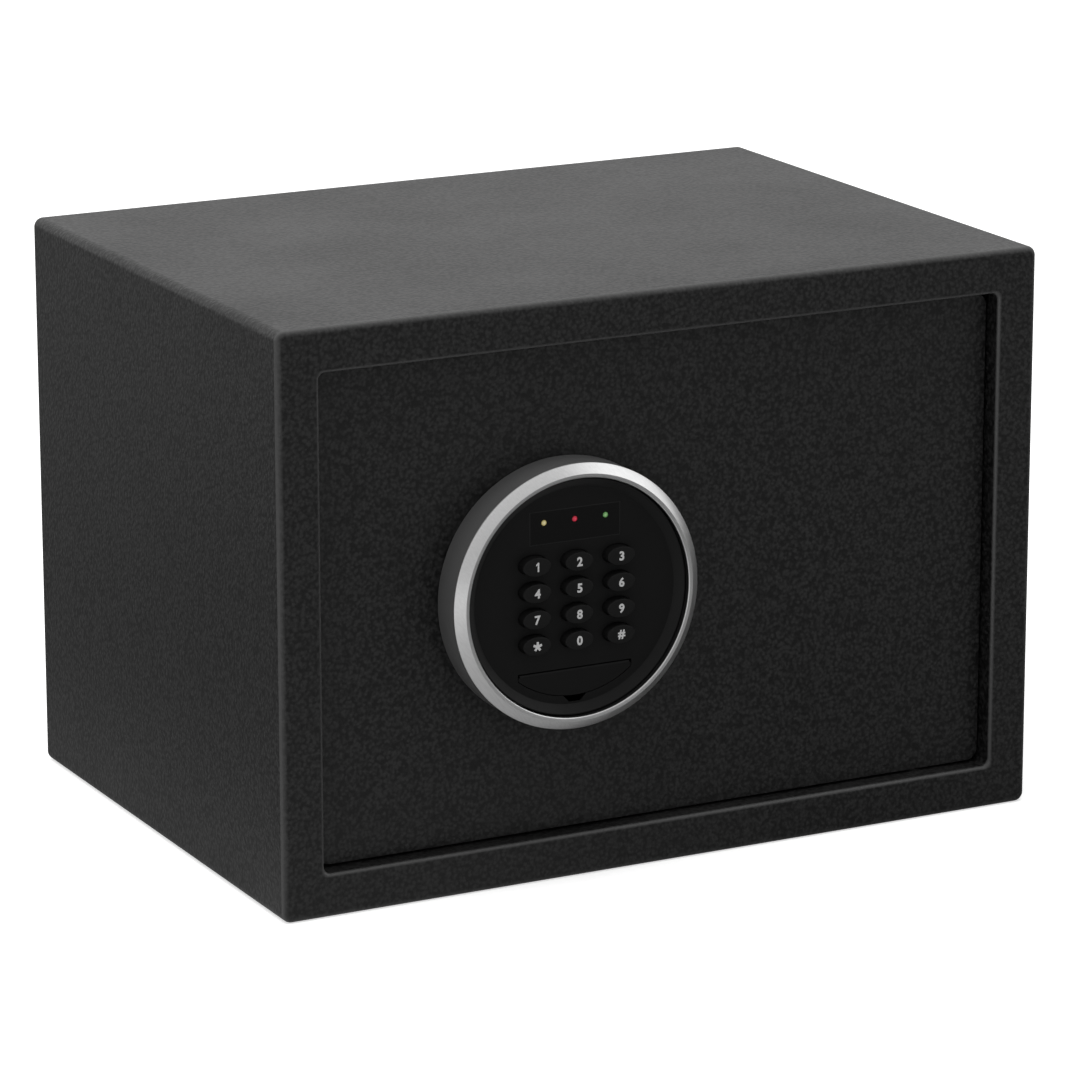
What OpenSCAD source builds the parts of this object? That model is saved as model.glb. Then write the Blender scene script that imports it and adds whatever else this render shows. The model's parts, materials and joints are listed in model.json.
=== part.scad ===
/* [Body] */
// Width of the body over its sides
body_w = 350; // [330:1:420]
// Depth of the body from the front frame to the back
body_d = 250.5; // [220:0.5:320]
// Height of the body
body_h = 243.5; // [240:0.5:320]
// Thickness of the body's steel sheet
sheet_t = 2; // [1.6:0.1:2.4]
// Radius of the long edges that run from front to back
edge_r = 4; // [3.8:0.1:6]
// Radius of the edges round the front and the back
face_r = 2.5; // [2:0.1:3]
// Width of the front frame, from the side to the door opening
frame_w = 18.5; // [17:0.5:22]
// Depth of the lip that lines the door opening
lip_depth = 12.5; // [12.3:0.1:13.5]
// Rounding where the front frame turns into the lip
lip_r = 1.8; // [1.5:0.1:2.4]
// Corner radius of the door opening
opening_r = 3; // [2.5:0.1:4]
// Width of the flange round the back panel
back_flange_w = 14; // [10:0.5:20]
// Diameter of the anchor holes in the base and the back
anchor_d = 9; // [6:0.5:12]
// Distance between the two anchor holes
anchor_pitch = 200; // [120:5:240]
// Distance of the base's anchor holes behind the body's middle
anchor_back = 20; // [0:5:60]
// Height of the back's anchor holes above the body's middle
anchor_rise = 40; // [0:5:60]
// Thickness of the floor mat
mat_t = 2; // [1:0.5:4]
// Gap between the floor mat and the walls
mat_gap = 1; // [0.5:0.5:5]

/* [Door] */
// Distance of the door's face behind the front frame
door_recess = 8; // [7.7:0.1:8.2]
// Thickness of the door plate
door_t = 4; // [3.8:0.1:4.2]
// Gap round the door
door_gap = 1.2; // [1.2:0.1:2]
// Corner radius of the door
door_r = 5; // [4:0.1:6]
// Distance of the hinge axis from the door's right edge
hinge_inset = 28; // [28:0.5:34]
// Distance of the hinge axis behind the door's face
hinge_depth = 7.8; // [7.6:0.1:8]
// Diameter of the hinge pins
hinge_pin_d = 6; // [5:0.1:6.2]
// Outer radius of the hinge knuckles
knuckle_r = 6; // [5.5:0.1:7]
// Height of each hinge knuckle
knuckle_h = 25; // [15:1:30]
// Width of each fixed hinge block
hinge_block_w = 25; // [20:1:30]
// Depth of each fixed hinge block
hinge_block_d = 12; // [10:0.5:16]
// Gap that a moving piece keeps from the piece that carries it
run_gap = 0.3; // [0.25:0.05:0.35]
// Radial clearance of pins and shafts in their holes
pin_gap = 0.05; // [0.02:0.01:0.09]
// Width of each door stop tab
stop_w = 20; // [12:1:30]
// Overlap of each door stop tab behind the door
stop_overlap = 8; // [5:0.5:9]
// Height of each door stop tab above the lip's edge
stop_root = 12; // [8:0.5:14]

/* [Turning ring] */
// Distance of the ring's axis left of the body's middle
puck_left = 46.3; // [44:0.1:52]
// Height of the ring's axis above the body's middle
puck_rise = 0.25; // [0:0.05:2]
// Radius of the dark collar
collar_r = 55.5; // [54.5:0.1:60]
// Radius inside the dark collar
collar_in_r = 51; // [50.5:0.1:52]
// Height of the collar's front edge above the door's face
collar_h = 14.8; // [14:0.1:15.2]
// Overhang of the bright rim over the collar
rim_over = 0.3; // [0:0.1:1]
// Height of the bright rim's outer edge
rim_edge_h = 0.5; // [0.3:0.1:1]
// Height of the bright rim above the collar
rim_h = 3.8; // [3:0.1:4.4]
// Radius outside the bright rim's flat crest
rim_crest_r = 51.7; // [51.3:0.1:53]
// Width of the bright rim's flat crest
rim_crest_w = 0.9; // [0.5:0.1:1]
// Radius inside the bright rim
rim_in_r = 49.9; // [49.7:0.1:50.1]
// Height of the bright rim's inner chamfer
rim_chamfer = 0.8; // [0.5:0.1:1.2]
// Depth of the bright rim's spigot inside the collar
rim_spigot = 3; // [2:0.5:5]
// Thickness of the drive disc
disc_t = 2.5; // [2:0.1:2.6]
// Width of the collar's rebate that holds the drive disc
rebate_w = 1.5; // [1:0.1:2]
// Angle that the ring turns through
turn_angle = 45; // [40:1:50]
// Radius of the drive stud
stud_r = 2.5; // [2:0.1:2.6]

/* [Keypad] */
// Radius of the keypad core
core_r = 49.4; // [49:0.1:49.6]
// Wall of the keypad core
core_wall = 2; // [1.5:0.1:2.5]
// Radius of the keypad's flat panel
panel_r = 45.5; // [45:0.1:46.5]
// Height of the flat panel above the door's face
panel_out = 13.5; // [13.2:0.1:13.8]
// Thickness of the panel
panel_t = 2.5; // [2.3:0.1:2.6]
// Height of the dished edge round the panel
dish_h = 2.7; // [2:0.1:3.2]
// Width of the dished edge's flat top
dish_top_w = 0.4; // [0.3:0.1:0.8]
// Radius of the fixing tube through the door
tube_r = 9; // [8:0.1:9.5]
// Wall of the fixing tube
tube_wall = 2; // [1.5:0.1:2.5]
// Radius of the nut on the fixing tube
tube_nut_r = 12.5; // [12:0.1:13]
// Thickness of the nut on the fixing tube
tube_nut_t = 4; // [3:0.1:5]
// Thickness of the circuit boards
board_t = 1.6; // [1:0.1:1.8]
// Thickness of the rubber key mat
key_mat_t = 0.8; // [0.5:0.1:0.9]
// Width of a key
key_w = 12.7; // [11:0.1:14.2]
// Height of a key on the panel
key_h = 7.7; // [7:0.1:8.2]
// Distance between key columns
key_pitch_x = 19.2; // [18:0.1:20.5]
// Distance between key rows
key_pitch_z = 11.04; // [10.9:0.01:11.3]
// Height of the top key row above the ring's axis
key_top_z = 15.2; // [14.8:0.1:15.6]
// Height of the keys above the panel
key_rise = 4.3; // [3:0.1:5]
// Travel of the keys
key_travel = 1; // [0.5:0.1:1]
// Rounding of the keys' tops
key_round = 0.5; // [0.4:0.1:1]
// Gap between a key and its hole
key_gap = 0.35; // [0.3:0.05:0.4]
// Width of the indicator window
window_w = 41.2; // [36:0.1:44]
// Height of the indicator window
window_h = 13.9; // [11:0.1:15]
// Height of the window's middle above the ring's axis
window_z = 30.05; // [29.5:0.05:31]
// Thickness of the indicator window
window_t = 0.8; // [0.5:0.1:1.2]
// Distance between the indicator lights
led_pitch = 14; // [10:0.1:16]
// Height of the lights above the window's middle
led_rise = 2; // [0:0.1:4]
// Diameter of the indicator lights
led_d = 2.3; // [2:0.1:3]
// Gap round each indicator light
led_gap = 0.15; // [0.1:0.05:0.3]
// Height of the indicator lights above the window
led_proud = 0.1; // [0:0.1:0.5]
// Distance of the key flap's top edge below the ring's axis
flap_drop = 30.4; // [30:0.1:31]
// Half the width of the key flap
flap_half_w = 25.7; // [22:0.1:27]
// Radius of the key flap's curved lower edge
flap_arc_r = 41.9; // [41.5:0.1:42.3]
// Thickness of the key flap
flap_t = 1.5; // [1.2:0.1:1.7]
// Radius of the key flap's hinge barrel
barrel_r = 1.2; // [1.1:0.05:1.22]
// Radius of the key flap's hinge nibs
nib_r = 0.6; // [0.5:0.05:0.7]
// Length of the nibs past the flap's sides
nib_len = 1.5; // [1:0.1:1.8]
// Width of the finger notch at the flap's edge
notch_w = 10.4; // [8:0.1:12]
// Height of the finger notch
notch_h = 2.7; // [2:0.1:3]
// Depth of the finger notch into the panel
notch_deep = 1.9; // [1.2:0.1:2]
// Thickness of the lock pocket's floor and walls
pocket_wall = 1.5; // [1:0.1:1.6]

/* [Bolt work] */
// Diameter of the locking bolts
bolt_d = 18; // [16:0.1:18.4]
// Distance between the two locking bolts
bolt_pitch = 100; // [94:1:110]
// Travel of the locking bolts
bolt_travel = 16; // [12:0.5:17]
// Gap between the lip's rear edge and the bolts
bolt_catch = 1; // [0.5:0.1:1.2]
// Distance of the drawn bolts' tips inside the door's edge
bolt_shy = 1; // [0.5:0.1:2]
// Chamfer of the bolts' tips
bolt_chamfer = 1.5; // [1:0.1:3]
// Distance of the bolts' rear ends left of the ring's axis
bolt_rear = 71.7; // [70:0.1:74]
// Thickness of the bolt carriage
carriage_t = 2.5; // [2:0.1:2.6]
// Width of the carriage's column behind the bolts
column_w = 26; // [25:0.5:32]
// Height of the carriage's column
column_h = 128; // [124:1:136]
// Height of the carriage's web above the ring's axis
web_up = 40; // [37:0.5:44]
// Depth of the carriage's web below the ring's axis
web_down = 53; // [51:0.5:54]
// Gap between the carriage's windows and what stands in them
window_gap = 1; // [0.5:0.1:1.2]
// Radius of the carriage's guide studs
guide_r = 3; // [2.5:0.1:3.2]
// Radius of the guide studs' heads
guide_head_r = 5.5; // [4.5:0.1:5.8]
// Thickness of the guide studs' heads
guide_head_t = 2; // [1.5:0.1:2.5]
// Height of the left guide studs above and below the ring's axis
guide_rise = 32; // [30:0.5:34]
// Distance of the right guide studs right of the ring's axis
guide_right = 36; // [35:0.5:40]
// Height of the upper right guide stud
guide_up = 30; // [24:0.5:32]
// Depth of the lower right guide stud
guide_down = 44; // [42:0.5:46]
// Thickness of the bolt guide
bolt_guide_t = 2.5; // [2:0.1:3]
// Gap between the bolt guide's ends and the inner cover's walls
guide_margin = 8.05; // [7:0.05:10]
// Width of the bolt guide's foot
bolt_guide_foot = 6; // [5:0.5:7]

/* [Emergency lock] */
// Distance of the emergency lock below the ring's axis
lock_drop = 36; // [35.8:0.1:36.2]
// Radius of the lock cylinder
lock_r = 5.2; // [4.8:0.1:5.3]
// Radius of the lock's nut
lock_nut_r = 8.5; // [8:0.1:9]
// Thickness of the lock's nut
lock_nut_t = 3; // [2.5:0.1:3.2]
// Radius of the lock's plug
plug_r = 3.2; // [2.8:0.1:3.4]
// Width of the keyhole slot
keyhole_w = 1.2; // [1:0.1:2]
// Depth of the keyhole slot
keyhole_deep = 3; // [2:0.5:5]
// Length of the cam arm
cam_len = 17; // [16.5:0.1:17.2]
// Width of the cam arm
cam_w = 6; // [5:0.1:6.2]
// Thickness of the cam arm
cam_t = 2; // [1.5:0.1:2.1]
// Angle of the resting cam arm above the level
cam_rest = 42; // [38:1:44]
// Angle that the key turns through
key_angle = 90; // [85:1:92]

/* [Solenoid] */
// Distance of the plunger right of the ring's axis
plunger_right = 16; // [15.5:0.1:16.5]
// Radius of the plunger
plunger_r = 3; // [2.5:0.1:3.1]
// Travel of the plunger
plunger_travel = 6; // [4:0.5:6]
// Length of the plunger above its crosshead
plunger_up = 26.2; // [25:0.1:26.4]
// Distance of the pulled-in plunger above the coil's floor
plunger_seat = 5.3; // [4.5:0.1:7]
// Reach of the crosshead to the left of the plunger
crosshead_reach = 9; // [8.5:0.1:9.5]
// Thickness of the crosshead
crosshead_t = 2; // [1.5:0.1:2.5]
// Length of the relaxed gap that holds the plunger's spring
spring_room = 4.3; // [4:0.1:6]
// Radius of the spring's wire
spring_wire_r = 0.3; // [0.2:0.05:0.35]
// Turns of the plunger's spring
spring_turns = 3; // [2:1:4]
// Radius of the plunger's spring
spring_r = 4.2; // [4:0.1:5]
// Width of the solenoid
solenoid_w = 24; // [22:0.5:26]
// Depth of the solenoid
solenoid_d = 20; // [19:0.5:20]
// Gap between the solenoid and the inner cover's lower wall
solenoid_gap = 2.3; // [1:0.1:4]
// Thickness of the solenoid frame's plates
frame_plate_t = 2; // [1.5:0.1:2.2]
// Radius of the bore in the coil
coil_bore_r = 3.4; // [3.4:0.1:4]
// Width of the lug on the carriage
lug_w = 8; // [6:0.1:8.5]
// Height of the lug on the carriage
lug_h = 8; // [7:0.1:8.2]
// Gap between the lug and the plunger's tip
lug_gap = 1; // [0.5:0.1:1]

/* [Inner cover] */
// Depth of the inner cover behind the door
cover_depth = 34; // [33:0.5:40]
// Wall of the inner cover
cover_t = 2; // [1.5:0.1:2.2]
// Corner radius of the inner cover
cover_r = 6; // [4:0.5:10]
// Distance of the inner cover from the door's left edge
cover_left = 3; // [2:0.1:3.2]
// Distance of the inner cover from the hinge axis
cover_hinge = 14.3; // [13:0.1:20]
// Distance of the inner cover from the door's top and bottom
cover_margin = 20; // [18:0.5:21]
// Width of the cover's fixing flanges
flange_w = 10; // [9:0.5:10]
// Thickness of the cover's fixing flanges
flange_t = 1.5; // [1:0.1:2]
// Distance of the fixings from the cover's ends
fixing_inset = 30; // [20:1:40]
// Radius of the fixing studs
fixing_r = 2; // [1.5:0.1:2.5]
// Thickness of the fixing nuts
fixing_nut_t = 3.2; // [2.5:0.1:4]
// Radius of a battery
cell_r = 7.25; // [6.5:0.05:7.3]
// Length of a battery
cell_len = 50.5; // [44:0.5:51]
// Distance between batteries
cell_pitch = 15; // [14.8:0.1:15.5]
// Number of batteries
cell_count = 4; // [2:1:4]
// Wall of the battery box
box_wall = 1.5; // [1:0.1:2]
// Distance of the battery box from the cover's right side
box_inset = 10; // [6:0.5:14]
// Depth of the battery box's middle below the ring's axis
box_drop = 30; // [24:0.5:36]
// Width of the reset button
reset_d = 8; // [6:0.1:10]
// Travel of the reset button
reset_travel = 1.5; // [0.5:0.1:1.6]
// Height of the reset button above the cover
reset_rise = 2; // [1.6:0.1:3]
// Width of the control board
control_w = 80; // [70:1:84]
// Height of the control board
control_h = 55; // [45:1:58]
// Distance of the control board below the inner cover's upper wall
control_margin = 7.3; // [5:0.1:10]
// Distance of the control board from the inner cover's right wall
control_inset = 8; // [6:0.5:12]
// Height of the standoffs under the control board
standoff_h = 5; // [4:0.5:8]
// Radius of the keypad's cable
cable_r = 2; // [1.5:0.1:2.5]

/* [Hidden] */
$fn = 64;
// Small overrun of a cutter past the face it opens
over = 1;
// Thickness of the slices that a rounded edge is blended from
slice = 0.01;
// Steps along a rounded edge
edge_steps = 4;
// Points round an oval key
oval_points = 36;
front_y = -body_d / 2;
back_y = body_d / 2;
mid_z = body_h / 2;
opening_w = body_w - 2 * frame_w;
opening_h = body_h - 2 * frame_w;
door_y = front_y + door_recess;
door_w = opening_w - 2 * door_gap;
door_h = opening_h - 2 * door_gap;
lip_y = front_y + lip_depth;
hinge_x = door_w / 2 - hinge_inset;
hinge_y = door_y + hinge_depth;
hinge_pin_r = hinge_pin_d / 2;
door_low = mid_z - door_h / 2;
door_top = mid_z + door_h / 2;
opening_low = frame_w;
opening_top = body_h - frame_w;
puck_x = -puck_left;
puck_z = mid_z + puck_rise;
disc_r = collar_r - rebate_w;
disc_front = run_gap + disc_t;
base_out = disc_front + run_gap;
// Thickness and width of a key's retaining flange, and its gap under the panel
key_flange_t = 0.8;
key_rim = 0.7;
key_slack = 0.1;
// Height of the key mat's domes with their gap
dome_h = 0.3;
flange_top = panel_out - panel_t - key_slack;
flange_low = flange_top - key_flange_t;
mat_out = flange_low - key_travel - dome_h - key_mat_t;
board_out = mat_out - board_t;
key_top = panel_out + key_rise;
flap_top_z = -flap_drop;
flap_axis_z = flap_top_z - barrel_r;
flap_axis_out = panel_out - barrel_r;
// Room behind the closed flap
pocket_room = 3;
pocket_floor = panel_out - flap_t - pocket_room;
lock_z = -lock_drop;
lock_out = flap_axis_out - barrel_r - run_gap;
door_back = -door_t;
web_out = door_back - run_gap;
web_back = web_out - carriage_t;
stud_ring_r = bolt_travel / 2 / sin(turn_angle / 2);
bolt_r = bolt_d / 2;
bolt_out = door_recess - lip_depth - bolt_catch - bolt_r;
bolt_tip_x = -door_w / 2 + bolt_shy;
bolt_rear_x = puck_x - bolt_rear;
guide_left = bolt_rear - carriage_t - guide_head_r - window_gap;
// Metal left round the carriage's slots
carriage_margin = 5;
carriage_right = guide_right + bolt_travel + guide_r + carriage_margin;
// Length of the tube and the lock cylinder behind their nuts
tube_proud = 0.5;
lock_proud = 0.8;
tube_end = door_back - tube_nut_t - tube_proud;
lock_end = door_back - lock_nut_t - lock_proud;
// Gaps of the cam arm to the lock in front and to the plunger behind
cam_gap = 0.25;
plunger_gap = 0.95;
cam_out = lock_end - cam_gap;
plunger_out = cam_out - cam_t - plunger_gap - plunger_r;
coil_r = door_back - frame_plate_t - run_gap - plunger_out;
// Lap of the crosshead past the plunger and the cam arm
crosshead_lap = 2;
cam_tip_r = cam_w / 2;
cam_reach = cam_len - cam_tip_r;
cam_low = cam_reach * sin(key_angle - cam_rest) + cam_tip_r;
crosshead_top = lock_z - cam_low - run_gap;
crosshead_low = crosshead_top - crosshead_t;
plunger_tip = crosshead_top + plunger_up;
frame_top = crosshead_low - spring_room;
cover_back = door_back - cover_depth;
cover_x0 = -door_w / 2 + cover_left;
cover_x1 = hinge_x - cover_hinge;
cover_h = door_h - 2 * cover_margin;
cover_in = cover_back + cover_t;
cover_low = mid_z - cover_h / 2 + cover_t;
cover_top = mid_z + cover_h / 2 - cover_t;
bolt_guide_h = cover_top - cover_low - 2 * guide_margin;
frame_low = cover_low + solenoid_gap - puck_z;
plunger_low = frame_low + frame_plate_t + plunger_seat;
// Gaps of the batteries to the box at the sides, the ends and above
cell_side_gap = 0.5;
cell_end_gap = 0.8;
cell_deep_gap = 1.2;
box_in_w = cell_count * cell_pitch + 2 * cell_side_gap;
box_in_h = cell_len + 2 * cell_end_gap;
box_x = cover_x1 - cover_t - box_inset - box_in_w / 2;
box_z = puck_z - box_drop;
box_floor = cover_in + 2 * cell_r + cell_deep_gap;
// Distance of the reset button from the cover's right side
reset_inset = 22;
reset_x = cover_x1 - reset_inset;
// Distance of the control board's posts and plug from its edges
post_inset = 4;
plug_inset = 6;
// Inner end of the reset button, and its gap to the switch when pressed
button_tail = cover_in + 2.5;
switch_gap = 1;
control_x = cover_x1 - cover_t - control_inset - control_w / 2;
control_z = cover_top - control_margin - control_h / 2;
reset_z = control_z;
control_out = door_back - standoff_h;
guide_x = cover_x0 + cover_t + run_gap;
key_names = [["key_1", "key_2", "key_3"], ["key_4", "key_5", "key_6"],
    ["key_7", "key_8", "key_9"], ["key_star", "key_0", "key_hash"]];

// Outline of a rectangle with round corners, centred
module rounded_rect(w, h, r) {
    square([w - 2 * r, h], center = true);
    square([w, h - 2 * r], center = true);
    for (x = [-1, 1], y = [-1, 1])
        translate([x * (w / 2 - r), y * (h / 2 - r)]) circle(r);
}

// Upright slab between two depths, centred on the front
module slab(y0, y1, w, h, r) {
    translate([0, y1, mid_z]) rotate([90, 0, 0]) linear_extrude(y1 - y0) rounded_rect(w, h, r);
}

// Door frame: x to the right, y up, z out of the door's face
module on_door() {
    translate([0, door_y, 0]) rotate([90, 0, 0]) children();
}

// Ring frame: the door frame centred on the ring's axis
module on_puck() {
    on_door() translate([puck_x, puck_z, 0]) children();
}

// Round piece between two heights
module peg(r, from, to) {
    translate([0, 0, from]) cylinder(r = r, h = to - from);
}

// Block between two corners
module block(x0, x1, y0, y1, from, to) {
    translate([x0, y0, from]) cube([x1 - x0, y1 - y0, to - from]);
}

// Arc-shaped slot between two angles
module arc_slot(r, half_w, a0, a1, from, to) {
    rotate([0, 0, a0]) translate([0, 0, from]) rotate_extrude(angle = a1 - a0)
        translate([r - half_w, 0]) square([2 * half_w, to - from]);
    for (a = [a0, a1]) rotate([0, 0, a]) translate([r, 0, 0]) peg(half_w - slice, from, to);
}

// Oval outline
module oval(w, h) {
    polygon([for (i = [0:oval_points - 1])
        [w / 2 * cos(i * 360 / oval_points), h / 2 * sin(i * 360 / oval_points)]]);
}

// Body sheet with its rounded edges, before it is hollowed
module rounded_box() {
    hull() for (i = [0:edge_steps]) {
        in = face_r * (1 - sin(i * 90 / edge_steps));
        back = face_r * (1 - cos(i * 90 / edge_steps));
        slab(front_y + back, back_y - back, body_w - 2 * in, body_h - 2 * in, edge_r - in, $fn = 32);
    }
}

// Door opening with its rounded front edge
module opening_cut() {
    slab(front_y - over, lip_y + over, opening_w, opening_h, opening_r);
    for (i = [0:edge_steps - 1]) hull() for (j = [i, i + 1]) {
        out = lip_r * (1 - sin(j * 90 / edge_steps));
        back = j == 0 ? -slice : lip_r * (1 - cos(j * 90 / edge_steps));
        slab(front_y + back - slice, front_y + back, opening_w + 2 * out, opening_h + 2 * out,
            opening_r, $fn = 32);
    }
}

module body_shell() {
    back_w = body_w - 2 * (sheet_t + back_flange_w);
    back_h = body_h - 2 * (sheet_t + back_flange_w);
    color("dimgray") difference() {
        rounded_box();
        difference() {
            slab(front_y + sheet_t, back_y - sheet_t, body_w - 2 * sheet_t, body_h - 2 * sheet_t,
                edge_r - sheet_t);
            slab(front_y, lip_y, opening_w + 2 * sheet_t, opening_h + 2 * sheet_t,
                opening_r + sheet_t);
        }
        opening_cut();
        slab(back_y - sheet_t - over, back_y + over, back_w, back_h, opening_r);
        for (x = [-1, 1]) translate([x * anchor_pitch / 2, anchor_back, -over])
            cylinder(d = anchor_d, h = sheet_t + 2 * over);
    }
}

module back_panel() {
    w = body_w - 2 * sheet_t;
    h = body_h - 2 * sheet_t;
    color("dimgray") difference() {
        slab(back_y - 2 * sheet_t, back_y - sheet_t, w, h, edge_r - sheet_t);
        for (x = [-1, 1]) translate([x * anchor_pitch / 2, back_y, mid_z + anchor_rise])
            rotate([90, 0, 0]) cylinder(d = anchor_d, h = 2 * sheet_t + over);
    }
}

module hinge_blocks() {
    color("dimgray") difference() {
        for (z = [[sheet_t, opening_low], [opening_top, body_h - sheet_t]])
            translate([hinge_x - hinge_block_w / 2, lip_y, z[0]])
                cube([hinge_block_w, hinge_block_d, z[1] - z[0]]);
        translate([hinge_x, hinge_y, sheet_t]) cylinder(r = hinge_pin_r + pin_gap,
            h = body_h - 2 * sheet_t);
    }
}

// One hinge pin with its thrust collar, in the lower block
module hinge_pin() {
    inset = 1;
    short = 4;
    collar_w = 2;
    peg(hinge_pin_r, sheet_t + inset, door_low + knuckle_h - short);
    peg(hinge_pin_r + collar_w, opening_low, door_low - run_gap);
}

module hinge_pins() {
    color("silver") translate([hinge_x, hinge_y, 0]) {
        hinge_pin();
        translate([0, 0, body_h]) mirror([0, 0, 1]) hinge_pin();
    }
}

module door_stops() {
    x0 = -opening_w / 2 + opening_r + stop_w / 2;
    color("dimgray") {
        translate([x0 - stop_w / 2, lip_y, opening_low - stop_root])
            cube([stop_w, sheet_t, stop_root + door_gap + stop_overlap]);
        translate([x0 - stop_w / 2, lip_y, door_top - stop_overlap])
            cube([stop_w, sheet_t, stop_root + door_gap + stop_overlap]);
    }
}

module floor_mat() {
    hole_gap = 1;
    y0 = lip_y + hinge_block_d + mat_gap;
    y1 = back_y - 2 * sheet_t - mat_gap;
    w = body_w - 2 * (edge_r + mat_gap);
    color("darkslategray") difference() {
        translate([-w / 2, y0, sheet_t]) cube([w, y1 - y0, mat_t]);
        for (x = [-1, 1]) translate([x * anchor_pitch / 2, anchor_back, 0])
            cylinder(d = anchor_d + 2 * hole_gap, h = sheet_t + mat_t + over);
    }
}

module door_plate() {
    slot_w = stud_r + run_gap;
    color("dimgray") difference() {
        slab(door_y, door_y + door_t, door_w, door_h, door_r);
        on_puck() {
            peg(tube_r + pin_gap, door_back - over, over);
            translate([0, lock_z, 0]) peg(lock_r + pin_gap, door_back - over, over);
            arc_slot(stud_ring_r, slot_w, 90 - turn_angle / 2, 90 + turn_angle / 2,
                door_back - over, over);
        }
    }
}

module door_knuckles() {
    color("dimgray") for (z = [door_low, door_top - knuckle_h]) difference() {
        translate([0, 0, z]) {
            translate([hinge_x, hinge_y, 0]) cylinder(r = knuckle_r, h = knuckle_h);
            translate([hinge_x - knuckle_r, door_y + door_t, 0])
                cube([2 * knuckle_r, hinge_depth - door_t, knuckle_h]);
        }
        translate([hinge_x - knuckle_r - over, door_y, z - over])
            cube([2 * (knuckle_r + over), door_t, knuckle_h + 2 * over]);
        translate([hinge_x, hinge_y, z - over])
            cylinder(r = hinge_pin_r + pin_gap, h = knuckle_h + 2 * over);
    }
}

module bolt_guide() {
    land = 3;
    back = bolt_out - bolt_r - land;
    foot_t = 1;
    color("silver") on_door() difference() {
        union() {
            block(guide_x, guide_x + bolt_guide_t, puck_z - bolt_guide_h / 2,
                puck_z + bolt_guide_h / 2, back, door_back);
            block(guide_x, guide_x + bolt_guide_t + bolt_guide_foot, puck_z - bolt_guide_h / 2,
                puck_z + bolt_guide_h / 2, door_back - foot_t, door_back);
        }
        for (s = [-1, 1]) translate([guide_x - over, puck_z + s * bolt_pitch / 2, bolt_out])
            rotate([0, 90, 0]) cylinder(r = bolt_r + pin_gap, h = bolt_guide_t + 2 * over);
        for (s = [-1, 1]) translate([guide_x + bolt_guide_t, puck_z + s * bolt_pitch / 2 - bolt_r - over,
            door_back - foot_t - over]) cube([bolt_guide_foot + over, 2 * (bolt_r + over), over + slice]);
    }
}

// Places of the carriage's guide studs in the ring frame
guide_places = [[-guide_left, guide_rise], [-guide_left, -guide_rise],
    [guide_right, guide_up], [guide_right, -guide_down]];

module guide_studs() {
    head = web_back - run_gap;
    color("silver") on_puck() for (p = guide_places) translate(p) {
        peg(guide_r, head - slice, door_back);
        peg(guide_head_r, head - guide_head_t, head);
    }
}

module inner_cover() {
    w = cover_x1 - cover_x0;
    mid_x = (cover_x0 + cover_x1) / 2;
    hole_gap = 0.5;
    color("black") on_door() difference() {
        union() {
            translate([mid_x, mid_z, cover_back]) linear_extrude(cover_depth)
                rounded_rect(w, cover_h, cover_r);
            translate([mid_x, mid_z, door_back - flange_t]) linear_extrude(flange_t)
                rounded_rect(w, cover_h + 2 * flange_w, cover_r);
        }
        translate([mid_x, mid_z, cover_in]) linear_extrude(cover_depth)
            rounded_rect(w - 2 * cover_t, cover_h - 2 * cover_t, cover_r - cover_t);
        for (s = [-1, 1]) translate([cover_x0 - over, puck_z + s * bolt_pitch / 2, bolt_out])
            rotate([0, 90, 0]) cylinder(r = bolt_r + hole_gap, h = cover_t + 2 * over);
        block(box_x - box_in_w / 2 - box_wall, box_x + box_in_w / 2 + box_wall,
            box_z - box_in_h / 2 - box_wall, box_z + box_in_h / 2 + box_wall,
            cover_back - over, cover_in + over);
        translate([reset_x, reset_z, 0]) peg(reset_d / 2 + pin_gap, cover_back - over, cover_in + over);
        for (p = fixing_places()) translate(p)
            peg(fixing_r + run_gap, door_back - flange_t - over, door_back + over);
    }
}

// Places of the inner cover's fixings in the door frame
function fixing_places() = [for (x = [cover_x0 + fixing_inset, cover_x1 - fixing_inset],
    s = [-1, 1]) [x, mid_z + s * (cover_h + flange_w) / 2]];

module cover_fixings() {
    margin = 0.8;
    proud = 1;
    nut_r = flange_w / 2 - margin;
    color("silver") on_door() for (p = fixing_places()) translate(p) {
        peg(fixing_r, door_back - flange_t - fixing_nut_t - proud, door_back);
        translate([0, 0, door_back - flange_t - fixing_nut_t])
            cylinder(r = nut_r, h = fixing_nut_t, $fn = 6);
    }
}

module battery_box() {
    w = box_in_w / 2;
    h = box_in_h / 2;
    rim = 3;
    color("black") on_door() translate([box_x, box_z, 0]) difference() {
        union() {
            block(-w - box_wall, w + box_wall, -h - box_wall, h + box_wall,
                cover_in, box_floor + box_wall);
            block(-w - box_wall - rim, w + box_wall + rim, -h - box_wall - rim, h + box_wall + rim,
                cover_in, cover_in + box_wall);
        }
        block(-w, w, -h, h, cover_in - over, box_floor);
    }
}

module batteries() {
    nub_h = 1;
    color("goldenrod") on_door() for (i = [0:cell_count - 1])
        translate([box_x + (i - (cell_count - 1) / 2) * cell_pitch, box_z - cell_len / 2,
            box_floor - run_gap - cell_r]) rotate([-90, 0, 0]) {
            cylinder(r = cell_r, h = cell_len - nub_h);
            cylinder(r = cell_r / 3, h = cell_len);
        }
}

module battery_cover() {
    w = box_in_w / 2 + box_wall - run_gap;
    h = box_in_h / 2 + box_wall - run_gap;
    ribs = 5;
    rib_w = 1;
    rib_deep = 0.6;
    rib_edge = 6;
    color("black") on_door() translate([box_x, box_z, 0]) difference() {
        block(-w, w, -h, h, cover_back, cover_in);
        for (i = [0:ribs - 1]) translate([0, h - rib_edge - 2 * i * rib_w, 0])
            block(-w / 2, w / 2, 0, rib_w, cover_back - over, cover_back + rib_deep);
    }
}

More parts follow.
